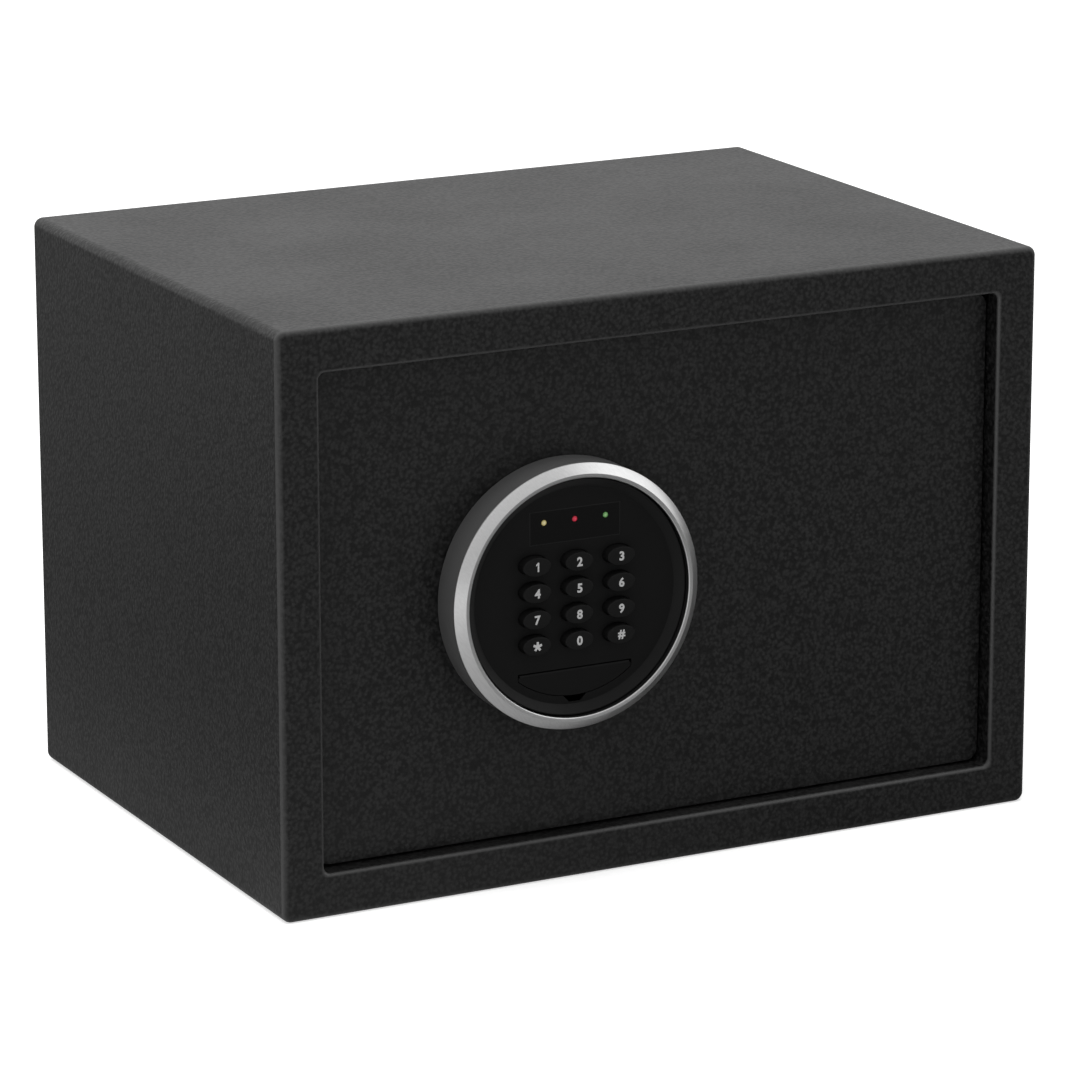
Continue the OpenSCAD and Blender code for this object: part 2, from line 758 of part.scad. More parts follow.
module control_board() {
    w = control_w / 2;
    h = control_h / 2;
    rear = control_out - board_t;
    post_r = 2.5;
    chip = [16, 16, 2.5];
    relay = [16, 12, 7];
    capacitor_r = 5;
    capacitor_h = 9;
    switch_w = 8;
    color("darkgreen") on_door() {
        translate([control_x, control_z, 0]) {
            block(-w, w, -h, h, rear, control_out);
            for (x = [-1, 1], y = [-1, 1]) translate([x * (w - post_inset), y * (h - post_inset), 0])
                peg(post_r, control_out - slice, door_back);
            translate([-w * 0.8, -chip[1] / 2, rear - chip[2]]) cube(chip + [0, 0, slice]);
            translate([w * 0.1, -h * 0.73, rear - relay[2]]) cube(relay + [0, 0, slice]);
            translate([-w * 0.1, h * 0.44, 0]) peg(capacitor_r, rear - capacitor_h, rear + slice);
        }
        translate([reset_x, reset_z, 0]) block(-switch_w / 2, switch_w / 2, -switch_w / 2,
            switch_w / 2, button_tail + reset_travel + switch_gap, control_out);
    }
}

module reset_button() {
    flange_w = 1.5;
    flange_t = 1.2;
    color("red") on_door() translate([reset_x, reset_z, 0]) {
        peg(reset_d / 2, cover_back - reset_rise, button_tail);
        peg(reset_d / 2 + flange_w, cover_in + run_gap, cover_in + run_gap + flange_t);
    }
}

module solenoid_frame() {
    w = solenoid_w / 2;
    back = plunger_out - solenoid_d / 2;
    color("silver") on_puck() translate([plunger_right, 0, 0]) difference() {
        block(-w, w, frame_low, frame_top, back, door_back);
        block(-w + frame_plate_t, w - frame_plate_t, frame_low + frame_plate_t,
            frame_top - frame_plate_t, back - over, door_back - frame_plate_t);
        translate([0, frame_top - frame_plate_t - over, plunger_out]) rotate([-90, 0, 0])
            cylinder(r = plunger_r + pin_gap, h = frame_plate_t + 2 * over);
    }
}

module solenoid_coil() {
    h = frame_top - frame_low - 2 * frame_plate_t;
    color("saddlebrown") on_puck()
        translate([plunger_right, frame_low + frame_plate_t, plunger_out]) rotate([-90, 0, 0])
            difference() {
                cylinder(r = coil_r, h = h);
                translate([0, 0, -over]) cylinder(r = coil_bore_r, h = h + 2 * over);
            }
}

module plunger() {
    color("lightgray") on_puck() translate([plunger_right, 0, 0]) {
        translate([0, plunger_low, plunger_out]) rotate([-90, 0, 0])
            cylinder(r = plunger_r, h = plunger_tip - plunger_low);
        block(-crosshead_reach, plunger_r + crosshead_lap, crosshead_low, crosshead_top,
            plunger_out - plunger_r - crosshead_lap, cam_out + crosshead_lap / 4);
    }
}

// Point on the spring's helix, and a tube of rings swept along it
function helix(i, steps, h) = [spring_r * cos(360 * i / steps), spring_r * sin(360 * i / steps),
    spring_wire_r + (h - 2 * spring_wire_r) * i / (steps * spring_turns)];

module plunger_spring() {
    steps = 16;
    sides = 6;
    end_gap = 0.02;
    h = spring_room - 2 * end_gap;
    rings = steps * spring_turns;
    points = [for (i = [0:rings], k = [0:sides - 1]) let (c = helix(i, steps, h),
        a = 360 * i / steps, b = 360 * k / sides)
        c + spring_wire_r * [cos(b) * cos(a), cos(b) * sin(a), sin(b)]];
    faces = concat([[for (k = [0:sides - 1]) k]],
        [for (i = [0:rings - 1], k = [0:sides - 1]) let (n = (k + 1) % sides)
            [i * sides + k, (i + 1) * sides + k, (i + 1) * sides + n, i * sides + n]],
        [[for (k = [sides - 1:-1:0]) rings * sides + k]]);
    color("lightgray") on_puck() translate([plunger_right, frame_top + end_gap, plunger_out])
        rotate([-90, 0, 0]) polyhedron(points, faces, convexity = 6);
}

// Slot in the carriage that lets it slide past a stud
module guide_slot(p) {
    block(p[0] - guide_r - run_gap, p[0] + bolt_travel + guide_r + run_gap,
        p[1] - guide_r - pin_gap, p[1] + guide_r + pin_gap, web_back - over, web_out + over);
}

// Window in the carriage round a nut that it slides past
module nut_window(r, z) {
    block(-r - window_gap, r + window_gap + bolt_travel, z - r - window_gap, z + r + window_gap,
        web_back - over, web_out + over);
}

module bolt_carriage() {
    lug_lap = 0.5;
    lug_x = plunger_right + plunger_r + lug_lap;
    lug_z = plunger_tip + lug_gap;
    lug_back = plunger_out - plunger_r - lug_lap;
    stud_x = stud_ring_r * sin(turn_angle / 2);
    slot_w = stud_r + run_gap;
    color("silver") on_puck() {
        difference() {
            union() {
                block(-bolt_rear, -bolt_rear + column_w, -column_h / 2, column_h / 2, web_back, web_out);
                block(-bolt_rear, carriage_right, -web_down, web_up, web_back, web_out);
            }
            for (p = guide_places) guide_slot(p);
            nut_window(tube_nut_r, 0);
            nut_window(lock_nut_r, lock_z);
            block(stud_x - slot_w, stud_x + slot_w, stud_ring_r * cos(turn_angle / 2) - slot_w,
                stud_ring_r + slot_w, web_back - over, web_out + over);
        }
        block(-bolt_rear, -bolt_rear + carriage_t, -column_h / 2, column_h / 2,
            bolt_out - bolt_r, web_out);
        translate([lug_x, lug_z, lug_back]) linear_extrude(web_back - lug_back)
                polygon([[0, lug_h], [0, lug_h / 2], [lug_w / 2, 0], [lug_w, 0], [lug_w, lug_h]]);
    }
}

module locking_bolts() {
    len = bolt_rear_x - bolt_tip_x;
    color("silver") on_door() for (s = [-1, 1])
        translate([bolt_tip_x, puck_z + s * bolt_pitch / 2, bolt_out]) rotate([0, 90, 0]) {
            cylinder(r1 = bolt_r - bolt_chamfer, r2 = bolt_r, h = bolt_chamfer);
            translate([0, 0, bolt_chamfer]) cylinder(r = bolt_r, h = len - bolt_chamfer);
        }
}

module drive_stud() {
    proud = 0.8;
    color("silver") on_puck() rotate([0, 0, 90 - turn_angle / 2]) translate([stud_ring_r, 0, 0])
        peg(stud_r, web_back - proud, disc_front);
}

module drive_disc() {
    color("silver") on_puck() difference() {
        peg(disc_r - pin_gap, run_gap, disc_front);
        peg(tube_r + pin_gap, 0, disc_front + over);
        rotate([0, 0, 90 - turn_angle / 2]) translate([stud_ring_r, 0, 0])
            peg(stud_r + pin_gap, 0, disc_front + over);
        arc_slot(lock_drop, lock_r + 2 * run_gap, -90 - turn_angle, -90, 0, disc_front + over);
    }
}

module turn_collar() {
    color("#3a3a3c") on_puck() rotate_extrude($fn = 128) polygon([[disc_r, run_gap],
        [collar_r, run_gap], [collar_r, collar_h], [collar_in_r, collar_h],
        [collar_in_r, disc_front], [disc_r, disc_front]]);
}

module bezel_ring() {
    top = collar_h + rim_h;
    spigot_r = collar_in_r - pin_gap;
    color("silver") on_puck() rotate_extrude($fn = 128) polygon([[spigot_r, collar_h - rim_spigot],
        [spigot_r, collar_h], [collar_r + rim_over, collar_h], [collar_r + rim_over, collar_h + rim_edge_h],
        [rim_crest_r, top], [rim_crest_r - rim_crest_w, top], [rim_in_r, top - rim_chamfer],
        [rim_in_r, collar_h - rim_spigot]]);
}

module keypad_housing() {
    wall_top = panel_out - panel_t;
    color("black") on_puck() difference() {
        rotate_extrude() polygon([[tube_r - tube_wall, tube_end], [tube_r, tube_end], [tube_r, base_out],
            [core_r, base_out], [core_r, wall_top], [core_r - core_wall, wall_top],
            [core_r - core_wall, base_out + core_wall], [tube_r - tube_wall, base_out + core_wall]]);
        translate([0, lock_z, 0]) peg(lock_r + pin_gap, base_out - over, base_out + core_wall + over);
    }
}

// Key flap's outline, grown by a margin
module flap_form(margin, top, from, to) {
    intersection() {
        peg(flap_arc_r + margin, from, to);
        block(-flap_half_w - margin, flap_half_w + margin, -flap_arc_r - 2 * over, top, from - over,
            to + over);
    }
}

// Place of a key in the ring frame
function key_place(column, row) = [(column - 1) * key_pitch_x, key_top_z - row * key_pitch_z];

module keypad_face() {
    low = panel_out - panel_t;
    pocket = run_gap + pocket_wall;
    window_low = panel_out - window_t;
    color("#1c1c1e") on_puck() difference() {
        union() {
            rotate_extrude($fn = 128) polygon([[0, low], [core_r, low], [core_r, panel_out + dish_h],
                [core_r - dish_top_w, panel_out + dish_h], [panel_r, panel_out], [0, panel_out]]);
            flap_form(pocket, flap_top_z + pocket, pocket_floor - pocket_wall, low + slice);
        }
        for (column = [0:2], row = [0:3]) translate(key_place(column, row)) translate([0, 0, low - over])
            linear_extrude(panel_t + 2 * over) oval(key_w + 2 * key_gap, key_h + 2 * key_gap);
        flap_form(run_gap, flap_top_z + run_gap, pocket_floor, panel_out + over);
        translate([-flap_half_w - nib_len - run_gap, flap_axis_z, flap_axis_out]) rotate([0, 90, 0])
            cylinder(r = nib_r + pin_gap, h = 2 * (flap_half_w + nib_len + run_gap), $fn = 32);
        translate([0, lock_z, 0]) peg(lock_r + pin_gap, 0, panel_out);
        translate([0, 0, panel_out - notch_deep]) linear_extrude(notch_deep + over)
            polygon([[-notch_w / 2, -flap_arc_r + over], [notch_w / 2, -flap_arc_r + over],
                [notch_w / 2, -flap_arc_r], [notch_w / 4, -flap_arc_r - notch_h],
                [-notch_w / 4, -flap_arc_r - notch_h], [-notch_w / 2, -flap_arc_r]]);
        block(-window_w / 2 - slice, window_w / 2 + slice, window_z - window_h / 2 - slice,
            window_z + window_h / 2 + slice, window_low, panel_out + over);
        for (i = [-1:1]) translate([i * led_pitch, window_z + led_rise, 0])
            peg(led_d / 2 + led_gap, low - over, panel_out);
    }
}

module tube_nut() {
    color("silver") on_puck() difference() {
        peg(tube_nut_r, door_back - tube_nut_t, door_back);
        peg(tube_r + pin_gap, door_back - tube_nut_t - over, door_back + over);
    }
}

module keypad_board() {
    edge_gap = 1;
    r = core_r - core_wall - edge_gap;
    post_r = 2;
    post_x = 34;
    post_rise = 26;
    post_drop = 6;
    color("darkgreen") on_puck() {
        intersection() {
            peg(r, board_out, mat_out);
            block(-r, r, flap_top_z + run_gap + pocket_wall + over, r, board_out - over, mat_out + over);
        }
        for (x = [-1, 1], y = [0, 1]) translate([x * post_x, y * post_rise - post_drop, 0])
            peg(post_r, base_out + core_wall, board_out + slice);
    }
}

module key_mat() {
    edge = 2;
    dome_r = 3;
    w = key_pitch_x + key_w / 2 + edge;
    color("#303030") on_puck() {
        block(-w, w, key_top_z - 3 * key_pitch_z - key_h / 2, key_top_z + key_h / 2 + edge / 4,
            mat_out, mat_out + key_mat_t);
        for (column = [0:2], row = [0:3]) translate(key_place(column, row))
            peg(dome_r, mat_out + key_mat_t - slice, flange_low - key_travel - key_slack);
    }
}

module keypad_cable() {
    run_out = control_out - board_t - cable_r - run_gap;
    end_x = control_x - control_w / 2 + post_inset - puck_x;
    end_z = control_z - puck_z - control_h / 2 + plug_inset;
    color("dimgray") on_puck() {
        peg(cable_r, run_out, board_out);
        translate([0, 0, run_out]) sphere(cable_r);
        translate([0, 0, run_out]) rotate([0, 90, 0]) cylinder(r = cable_r, h = end_x);
        translate([end_x, 0, run_out]) sphere(cable_r);
        translate([end_x, 0, run_out]) rotate([-90, 0, 0]) cylinder(r = cable_r, h = end_z);
        translate([end_x, end_z, run_out]) sphere(cable_r);
    }
}

module led_window() {
    color("#26262a") on_puck() difference() {
        block(-window_w / 2, window_w / 2, window_z - window_h / 2, window_z + window_h / 2,
            panel_out - window_t, panel_out);
        for (i = [-1:1]) translate([i * led_pitch, window_z + led_rise, 0])
            peg(led_d / 2 + led_gap, panel_out - window_t - over, panel_out + over);
    }
}

// One indicator light, standing on the keypad board
module led(i) {
    on_puck() translate([i * led_pitch, window_z + led_rise, 0])
        peg(led_d / 2, mat_out, panel_out + led_proud);
}

module led_yellow() { color("gold") led(-1); }

module led_red() { color("red") led(0); }

module led_green() { color("limegreen") led(1); }

// One key with its retaining flange and rounded top
module key_cap(column, row) {
    shoulder = key_top - key_round;
    color("#202022") on_puck() translate(key_place(column, row)) {
        translate([0, 0, flange_low]) linear_extrude(flange_top - flange_low)
            oval(key_w + 2 * key_rim, key_h + 2 * key_rim);
        translate([0, 0, flange_low]) linear_extrude(shoulder - flange_low) oval(key_w, key_h);
        hull() {
            translate([0, 0, shoulder - slice]) linear_extrude(slice) oval(key_w, key_h);
            translate([0, 0, shoulder + key_round * 0.6]) linear_extrude(slice)
                oval(key_w - key_round * 0.7, key_h - key_round * 0.7);
            translate([0, 0, key_top - slice]) linear_extrude(slice)
                oval(key_w - key_round * 2.4, key_h - key_round * 2.4);
        }
    }
}

module key_flap() {
    half = flap_half_w - 2 * run_gap;
    color("#1c1c1e") on_puck() {
        flap_form(0, flap_axis_z, panel_out - flap_t, panel_out);
        translate([-half, flap_axis_z, flap_axis_out]) rotate([0, 90, 0])
            cylinder(r = barrel_r, h = 2 * half, $fn = 32);
        translate([-flap_half_w - nib_len, flap_axis_z, flap_axis_out]) rotate([0, 90, 0])
            cylinder(r = nib_r, h = 2 * (flap_half_w + nib_len), $fn = 32);
    }
}

module lock_cylinder() {
    color("gainsboro") on_puck() translate([0, lock_z, 0]) difference() {
        peg(lock_r, lock_end, lock_out);
        peg(plug_r + pin_gap, lock_end - over, lock_out + over);
    }
}

module lock_nut() {
    color("gainsboro") on_puck() translate([0, lock_z, 0]) difference() {
        peg(lock_nut_r, door_back - lock_nut_t, door_back);
        peg(lock_r + pin_gap, door_back - lock_nut_t - over, door_back + over);
    }
}

module lock_plug() {
    color("goldenrod") on_puck() translate([0, lock_z, 0]) difference() {
        peg(plug_r, cam_out - cam_t, lock_out);
        block(-keyhole_w / 2, keyhole_w / 2, -plug_r * 0.8, plug_r * 0.8,
            lock_out - keyhole_deep, lock_out + over);
    }
}

module cam_arm() {
    eye_w = 2;
    color("silver") on_puck() translate([0, lock_z, 0]) rotate([0, 0, cam_rest]) difference() {
        union() {
            peg(plug_r + eye_w, cam_out - cam_t, cam_out);
            block(0, cam_reach, -cam_tip_r, cam_tip_r, cam_out - cam_t, cam_out);
            translate([cam_reach, 0, 0]) peg(cam_tip_r, cam_out - cam_t, cam_out);
        }
        peg(plug_r + pin_gap, cam_out - cam_t - over, cam_out + over);
    }
}

body_shell();
back_panel();
hinge_blocks();
hinge_pins();
door_stops();
floor_mat();
door_plate();
door_knuckles();
bolt_guide();
guide_studs();
inner_cover();
cover_fixings();
battery_box();
batteries();
battery_cover();
control_board();
reset_button();
solenoid_frame();
solenoid_coil();
plunger();
plunger_spring();
bolt_carriage();
locking_bolts();
drive_stud();
drive_disc();
turn_collar();
bezel_ring();
keypad_housing();
keypad_face();
tube_nut();
keypad_board();
key_mat();
keypad_cable();
led_window();
led_yellow();
led_red();
led_green();
key_cap(0, 0);  // key_1
key_cap(1, 0);  // key_2
key_cap(2, 0);  // key_3
key_cap(0, 1);  // key_4
key_cap(1, 1);  // key_5
key_cap(2, 1);  // key_6
key_cap(0, 2);  // key_7
key_cap(1, 2);  // key_8
key_cap(2, 2);  // key_9
key_cap(0, 3);  // key_star
key_cap(1, 3);  // key_0
key_cap(2, 3);  // key_hash
key_flap();
lock_cylinder();
lock_nut();
lock_plug();
cam_arm();
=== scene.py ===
"""Electronic safe: finishes, rounded pieces, legends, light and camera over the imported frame."""
import json
import math

import bmesh
import bpy
import numpy as np
from mathutils import Matrix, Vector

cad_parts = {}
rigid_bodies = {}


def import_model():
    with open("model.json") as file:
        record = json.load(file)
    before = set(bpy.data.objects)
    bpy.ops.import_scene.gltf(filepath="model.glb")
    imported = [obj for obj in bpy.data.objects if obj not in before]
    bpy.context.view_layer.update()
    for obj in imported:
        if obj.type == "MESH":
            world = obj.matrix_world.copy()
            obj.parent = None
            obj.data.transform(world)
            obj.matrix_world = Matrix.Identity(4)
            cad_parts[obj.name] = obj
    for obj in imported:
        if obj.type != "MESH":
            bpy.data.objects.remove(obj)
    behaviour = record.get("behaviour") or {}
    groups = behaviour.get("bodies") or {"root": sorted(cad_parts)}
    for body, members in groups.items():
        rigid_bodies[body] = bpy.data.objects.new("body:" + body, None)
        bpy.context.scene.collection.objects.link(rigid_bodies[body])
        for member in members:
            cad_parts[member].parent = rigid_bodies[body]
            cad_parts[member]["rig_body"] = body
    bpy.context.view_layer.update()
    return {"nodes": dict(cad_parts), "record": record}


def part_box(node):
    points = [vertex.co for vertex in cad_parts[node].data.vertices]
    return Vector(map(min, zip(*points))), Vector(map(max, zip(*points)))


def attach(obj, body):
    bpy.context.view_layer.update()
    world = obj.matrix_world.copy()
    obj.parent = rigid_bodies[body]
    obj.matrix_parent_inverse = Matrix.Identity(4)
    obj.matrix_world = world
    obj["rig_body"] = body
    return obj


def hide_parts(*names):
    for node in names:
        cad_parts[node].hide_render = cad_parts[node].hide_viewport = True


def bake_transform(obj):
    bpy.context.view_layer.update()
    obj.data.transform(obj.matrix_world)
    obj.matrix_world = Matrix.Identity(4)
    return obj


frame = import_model()
NODES = frame["nodes"]
SLOTS = {part["node"]: part["material_slot"] for part in frame["record"]["subparts"]}
MM = 0.001


def node_box(node):
    """Lowest and highest corner of a CAD node as arrays."""
    low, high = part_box(node)
    return np.array(low), np.array(high)


BODY_LOW, BODY_HIGH = node_box("body_shell")
DOOR_FACE = node_box("door_plate")[0][1]
RING_LOW, RING_HIGH = node_box("turn_collar")
AXIS_X = (RING_LOW[0] + RING_HIGH[0]) / 2
AXIS_Z = (RING_LOW[2] + RING_HIGH[2]) / 2

SHEET = 2 * MM
EDGE_R = 4 * MM
FACE_R = 2.5 * MM
FRAME_W = 18.5 * MM
LIP_R = 1.8 * MM
LIP_DEPTH = 12.5 * MM
OPENING_R = 3 * MM
BACK_FLANGE = 16 * MM
ANCHOR_R = 4.5 * MM
ANCHOR_X = 100 * MM
ANCHOR_Y = 20 * MM

PANEL_OUT = 13.5 * MM
DISH_INNER = 45.0 * MM
DISH_FULL = 46.8 * MM
RIM_INNER = 50.0 * MM
KEY_HALF = np.array([6.35, 3.85]) * MM
KEY_FLANGE = 0.7 * MM
KEY_FLANGE_T = 0.8 * MM
KEY_ROUND = 0.5 * MM
KEY_CROWN = 0.12 * MM
KEY_SHOULDER = 0.55 * MM
LENS_H = 0.35 * MM
DOOR_T = 4 * MM
BOARD_GAP = 5 * MM
BOARD_T = 1.6 * MM
LEGENDS = {"key_1": "1", "key_2": "2", "key_3": "3", "key_4": "4", "key_5": "5", "key_6": "6",
           "key_7": "7", "key_8": "8", "key_9": "9", "key_star": "*", "key_0": "0",
           "key_hash": "#"}
ONE_OUTLINE = np.array([[0.1, -0.5], [0.1, 0.5], [-0.03, 0.5], [-0.26, 0.3], [-0.26, 0.13],
                        [-0.08, 0.24], [-0.08, -0.5]])
LEGEND_H = 3.9 * MM
LEGEND_PROUD = 0.04 * MM
LEGEND_FLAT = 0.02


def link_up(name, mesh):
    """A new object for a mesh, in the scene, at the origin."""
    piece = bpy.data.objects.new(name, mesh)
    bpy.context.scene.collection.objects.link(piece)
    return piece


def smooth(mesh):
    """Smooth shading with sharp edges kept where faces meet at more than 35 degrees."""
    mesh.shade_smooth()
    mesh.set_sharp_from_angle(angle=math.radians(35))


def surface(name, points, close_v=True, caps=False):
    """Mesh over a grid of points: each row and each column joins to the next.

    The last row joins to the first, and so does the last column with close_v. caps shuts the
    first and the last column with one face each. Faces are turned outwards by the sign of the
    volume.
    """
    rows, columns = points.shape[:2]
    index = np.arange(rows * columns).reshape(rows, columns)
    ahead = np.roll(index, -1, axis=0)
    beside = np.roll(index, -1, axis=1)
    quads = np.stack([index, ahead, np.roll(ahead, -1, axis=1), beside], -1)
    quads = quads[:, :columns if close_v else columns - 1]
    faces = quads.reshape(-1, 4).tolist()
    if caps:
        faces += [index[::-1, 0].tolist(), index[:, -1].tolist()]
    mesh = bpy.data.meshes.new(name)
    mesh.from_pydata(points.reshape(-1, 3).tolist(), [], faces)
    form = bmesh.new()
    form.from_mesh(mesh)
    if form.calc_volume(signed=True) < 0:
        bmesh.ops.reverse_faces(form, faces=form.faces)
    form.to_mesh(mesh)
    form.free()
    smooth(mesh)
    return link_up(name, mesh)


def filleted(corners, radii, steps):
    """Closed profile with its corners rounded.

    At each corner the arc's centre lies on the bisector, radius over the sine of half the
    corner's angle away, and the arc runs between the two tangent points.
    """
    corners = np.asarray(corners, float)
    radii = np.asarray(radii, float)
    back = np.roll(corners, 1, axis=0) - corners
    ahead = np.roll(corners, -1, axis=0) - corners
    back /= np.linalg.norm(back, axis=1, keepdims=True)
    ahead /= np.linalg.norm(ahead, axis=1, keepdims=True)
    half = np.arccos(np.clip((back * ahead).sum(1), -1, 1)) / 2
    middle = back + ahead
    middle /= np.linalg.norm(middle, axis=1, keepdims=True)
    centre = corners + middle * (radii / np.sin(half))[:, None]
    start = corners + back * (radii / np.tan(half))[:, None] - centre
    end = corners + ahead * (radii / np.tan(half))[:, None] - centre
    share = np.linspace(0, 1, steps + 1)[None, :, None]
    swing = (np.pi - 2 * half)[:, None, None]
    arc = (np.sin((1 - share) * swing) * start[:, None] + np.sin(share * swing) * end[:, None])
    return (centre[:, None] + arc / np.sin(swing)).reshape(-1, 2)


def lathe(name, profile, segments=256):
    """Closed profile of (radius, height over the door) turned a full circle about the ring's
    axis."""
    angle = np.linspace(0, 2 * np.pi, segments, endpoint=False)
    radius, out = np.asarray(profile).T
    points = np.stack([AXIS_X + np.outer(np.cos(angle), radius),
                       np.broadcast_to(DOOR_FACE - out, (segments, len(out))),
                       AXIS_Z + np.outer(np.sin(angle), radius)], -1)
    return surface(name, points)


def rounded_loops(half_w, half_h, radius, y):
    """One upright rounded rectangle per value: each corner is a quarter circle whose centre
    lies one radius inside the corner."""
    steps = 8
    turn = np.linspace(0, np.pi / 2, steps + 1)
    angle = (np.arange(4)[:, None] * np.pi / 2 + turn[None]).reshape(-1)
    side_x = np.repeat([1, -1, -1, 1], steps + 1)
    side_z = np.repeat([1, 1, -1, -1], steps + 1)
    x = side_x * (half_w - radius)[:, None] + np.cos(angle) * radius[:, None]
    z = side_z * (half_h - radius)[:, None] + np.sin(angle) * radius[:, None]
    return np.stack([x, np.broadcast_to(y[:, None], x.shape), z], -1).transpose(1, 0, 2)


def weighted(piece):
    """Keeps wide flat faces flat in the shading beside their rounded edges."""
    normals = piece.modifiers.new("Flat faces", "WEIGHTED_NORMAL")
    normals.keep_sharp = True
    normals.weight = 80
    return piece


def merged_copy(node, name):
    """A copy of a CAD node's mesh with its doubles merged and its flat facets joined. The bolt
    carriage's slotted faces are split again where they are concave, so that they don't fold
    over themselves when their edges are rounded."""
    mesh = NODES[node].data.copy()
    mesh.name = name
    mesh.materials.clear()
    if "custom_normal" in mesh.attributes:
        mesh.attributes.remove(mesh.attributes["custom_normal"])
    form = bmesh.new()
    form.from_mesh(mesh)
    bmesh.ops.remove_doubles(form, verts=form.verts, dist=0.002 * MM)
    bmesh.ops.dissolve_limit(form, angle_limit=math.radians(0.4), verts=form.verts,
                             edges=form.edges)
    if node == "bolt_carriage":
        bmesh.ops.connect_verts_concave(form, faces=form.faces)
    form.to_mesh(mesh)
    form.free()
    smooth(mesh)
    return link_up(name, mesh)


def softened(node, width):
    """A copy of a CAD node whose sharp edges are rounded to a width in millimetres."""
    piece = merged_copy(node, node + "_finished")
    if width:
        edges = piece.modifiers.new("Soft edges", "BEVEL")
        edges.width = width * MM
        edges.segments = 3
        edges.limit_method = "ANGLE"
        edges.angle_limit = math.radians(40)
        edges.use_clamp_overlap = True
        edges.miter_outer = "MITER_ARC"
        weighted(piece)
    return piece


def evaluated(piece):
    """The mesh that an object has after its modifiers, or that its text forms."""
    bpy.context.view_layer.update()
    return bpy.data.meshes.new_from_object(
        piece.evaluated_get(bpy.context.evaluated_depsgraph_get()))


def cut_holes(piece, centres, radius, axis, length):
    """Drills round holes through a piece with prisms of 48 sides."""
    sides = 48
    angle = np.linspace(0, 2 * np.pi, sides, endpoint=False)
    ring = np.stack([np.cos(angle), np.sin(angle)], -1) * radius
    flat = [k for k in range(3) if k != axis]
    cutters = []
    for number, centre in enumerate(centres):
        points = np.zeros((sides, 2, 3))
        points[:, :, flat[0]] = centre[flat[0]] + ring[:, None, 0]
        points[:, :, flat[1]] = centre[flat[1]] + ring[:, None, 1]
        points[:, :, axis] = centre[axis] + np.array([-length / 2, length / 2])
        cutter = surface("cutter_%d" % number, points, close_v=False, caps=True)
        drill = piece.modifiers.new("Hole", "BOOLEAN")
        drill.object = cutter
        drill.solver = "EXACT"
        cutters.append(cutter)
    drilled = evaluated(piece)
    piece.modifiers.clear()
    piece.data = drilled
    for cutter in cutters:
        bpy.data.objects.remove(cutter)


def add(tree, kind, inputs=None, **settings):
    """A shader node with its settings made and its inputs set or linked."""
    item = tree.nodes.new("ShaderNode" + kind)
    for key, value in settings.items():
        setattr(item, key, value)
    for key, value in (inputs or {}).items():
        if isinstance(value, bpy.types.NodeSocket):
            tree.links.new(value, item.inputs[key])
        else:
            item.inputs[key].default_value = value
    return item


def maths(tree, operation, first, second=0.0, clamp=False):
    """Result of one Math node."""
    return add(tree, "Math", {0: first, 1: second}, operation=operation, use_clamp=clamp).outputs[0]


def spread(tree, value, low, high, to_low=0.0, to_high=1.0):
    """A value carried from one range to another, held at its ends."""
    return add(tree, "MapRange", {"Value": value, "From Min": low, "From Max": high,
                                  "To Min": to_low, "To Max": to_high}).outputs["Result"]


def blended(tree, share, first, second):
    """Colour between two colours or sockets."""
    return add(tree, "Mix", {"Factor": share, 6: first, 7: second}, data_type="RGBA").outputs[2]


def group(name, inputs, outputs):
    """An empty shader node group with named sockets, and its two end nodes."""
    tree = bpy.data.node_groups.new(name, "ShaderNodeTree")
    kinds = {"vector": "NodeSocketVector", "value": "NodeSocketFloat"}
    for label, kind, value in inputs:
        socket = tree.interface.new_socket(label, in_out="INPUT", socket_type=kinds[kind])
        if value is not None:
            socket.default_value = value
    for label, kind in outputs:
        tree.interface.new_socket(label, in_out="OUTPUT", socket_type=kinds[kind])
    return tree, tree.nodes.new("NodeGroupInput").outputs, tree.nodes.new("NodeGroupOutput").inputs


def place_group(tree, name, inputs):
    """A node group placed in a material with its own values; its outputs."""
    item = tree.nodes.new("ShaderNodeGroup")
    item.node_tree = bpy.data.node_groups[name]
    for key, value in inputs.items():
        if isinstance(value, bpy.types.NodeSocket):
            tree.links.new(value, item.inputs[key])
        else:
            item.inputs[key].default_value = value
    return item.outputs


def make_powder_group():
    """Orange peel of a baked powder coat: soft cells with finer noise over them, and a slow
    change of tone across the sheet."""
    tree, put, get = group("powder_peel", [("Place", "vector", None), ("Fineness", "value", 570.0)],
                           [("Height", "value"), ("Tone", "value"), ("Drift", "value")])
    cells = add(tree, "TexVoronoi", {"Vector": put["Place"], "Scale": put["Fineness"],
                                     "Randomness": 1.0, "Smoothness": 0.6}, feature="SMOOTH_F1")
    fine = add(tree, "TexNoise", {"Vector": put["Place"], "Detail": 2.0, "Roughness": 0.55,
                                  "Scale": maths(tree, "MULTIPLY", put["Fineness"], 1.35)})
    slow = add(tree, "TexNoise", {"Vector": put["Place"], "Detail": 2.0, "Roughness": 0.5,
                                  "Scale": maths(tree, "MULTIPLY", put["Fineness"], 0.03)})
    peel = maths(tree, "MULTIPLY", cells.outputs["Distance"], -0.8)
    peel = maths(tree, "ADD", peel, fine.outputs["Fac"])
    tree.links.new(peel, get["Height"])
    tree.links.new(spread(tree, peel, -0.15, 0.45), get["Tone"])
    tree.links.new(spread(tree, slow.outputs["Fac"], 0.3, 0.7), get["Drift"])


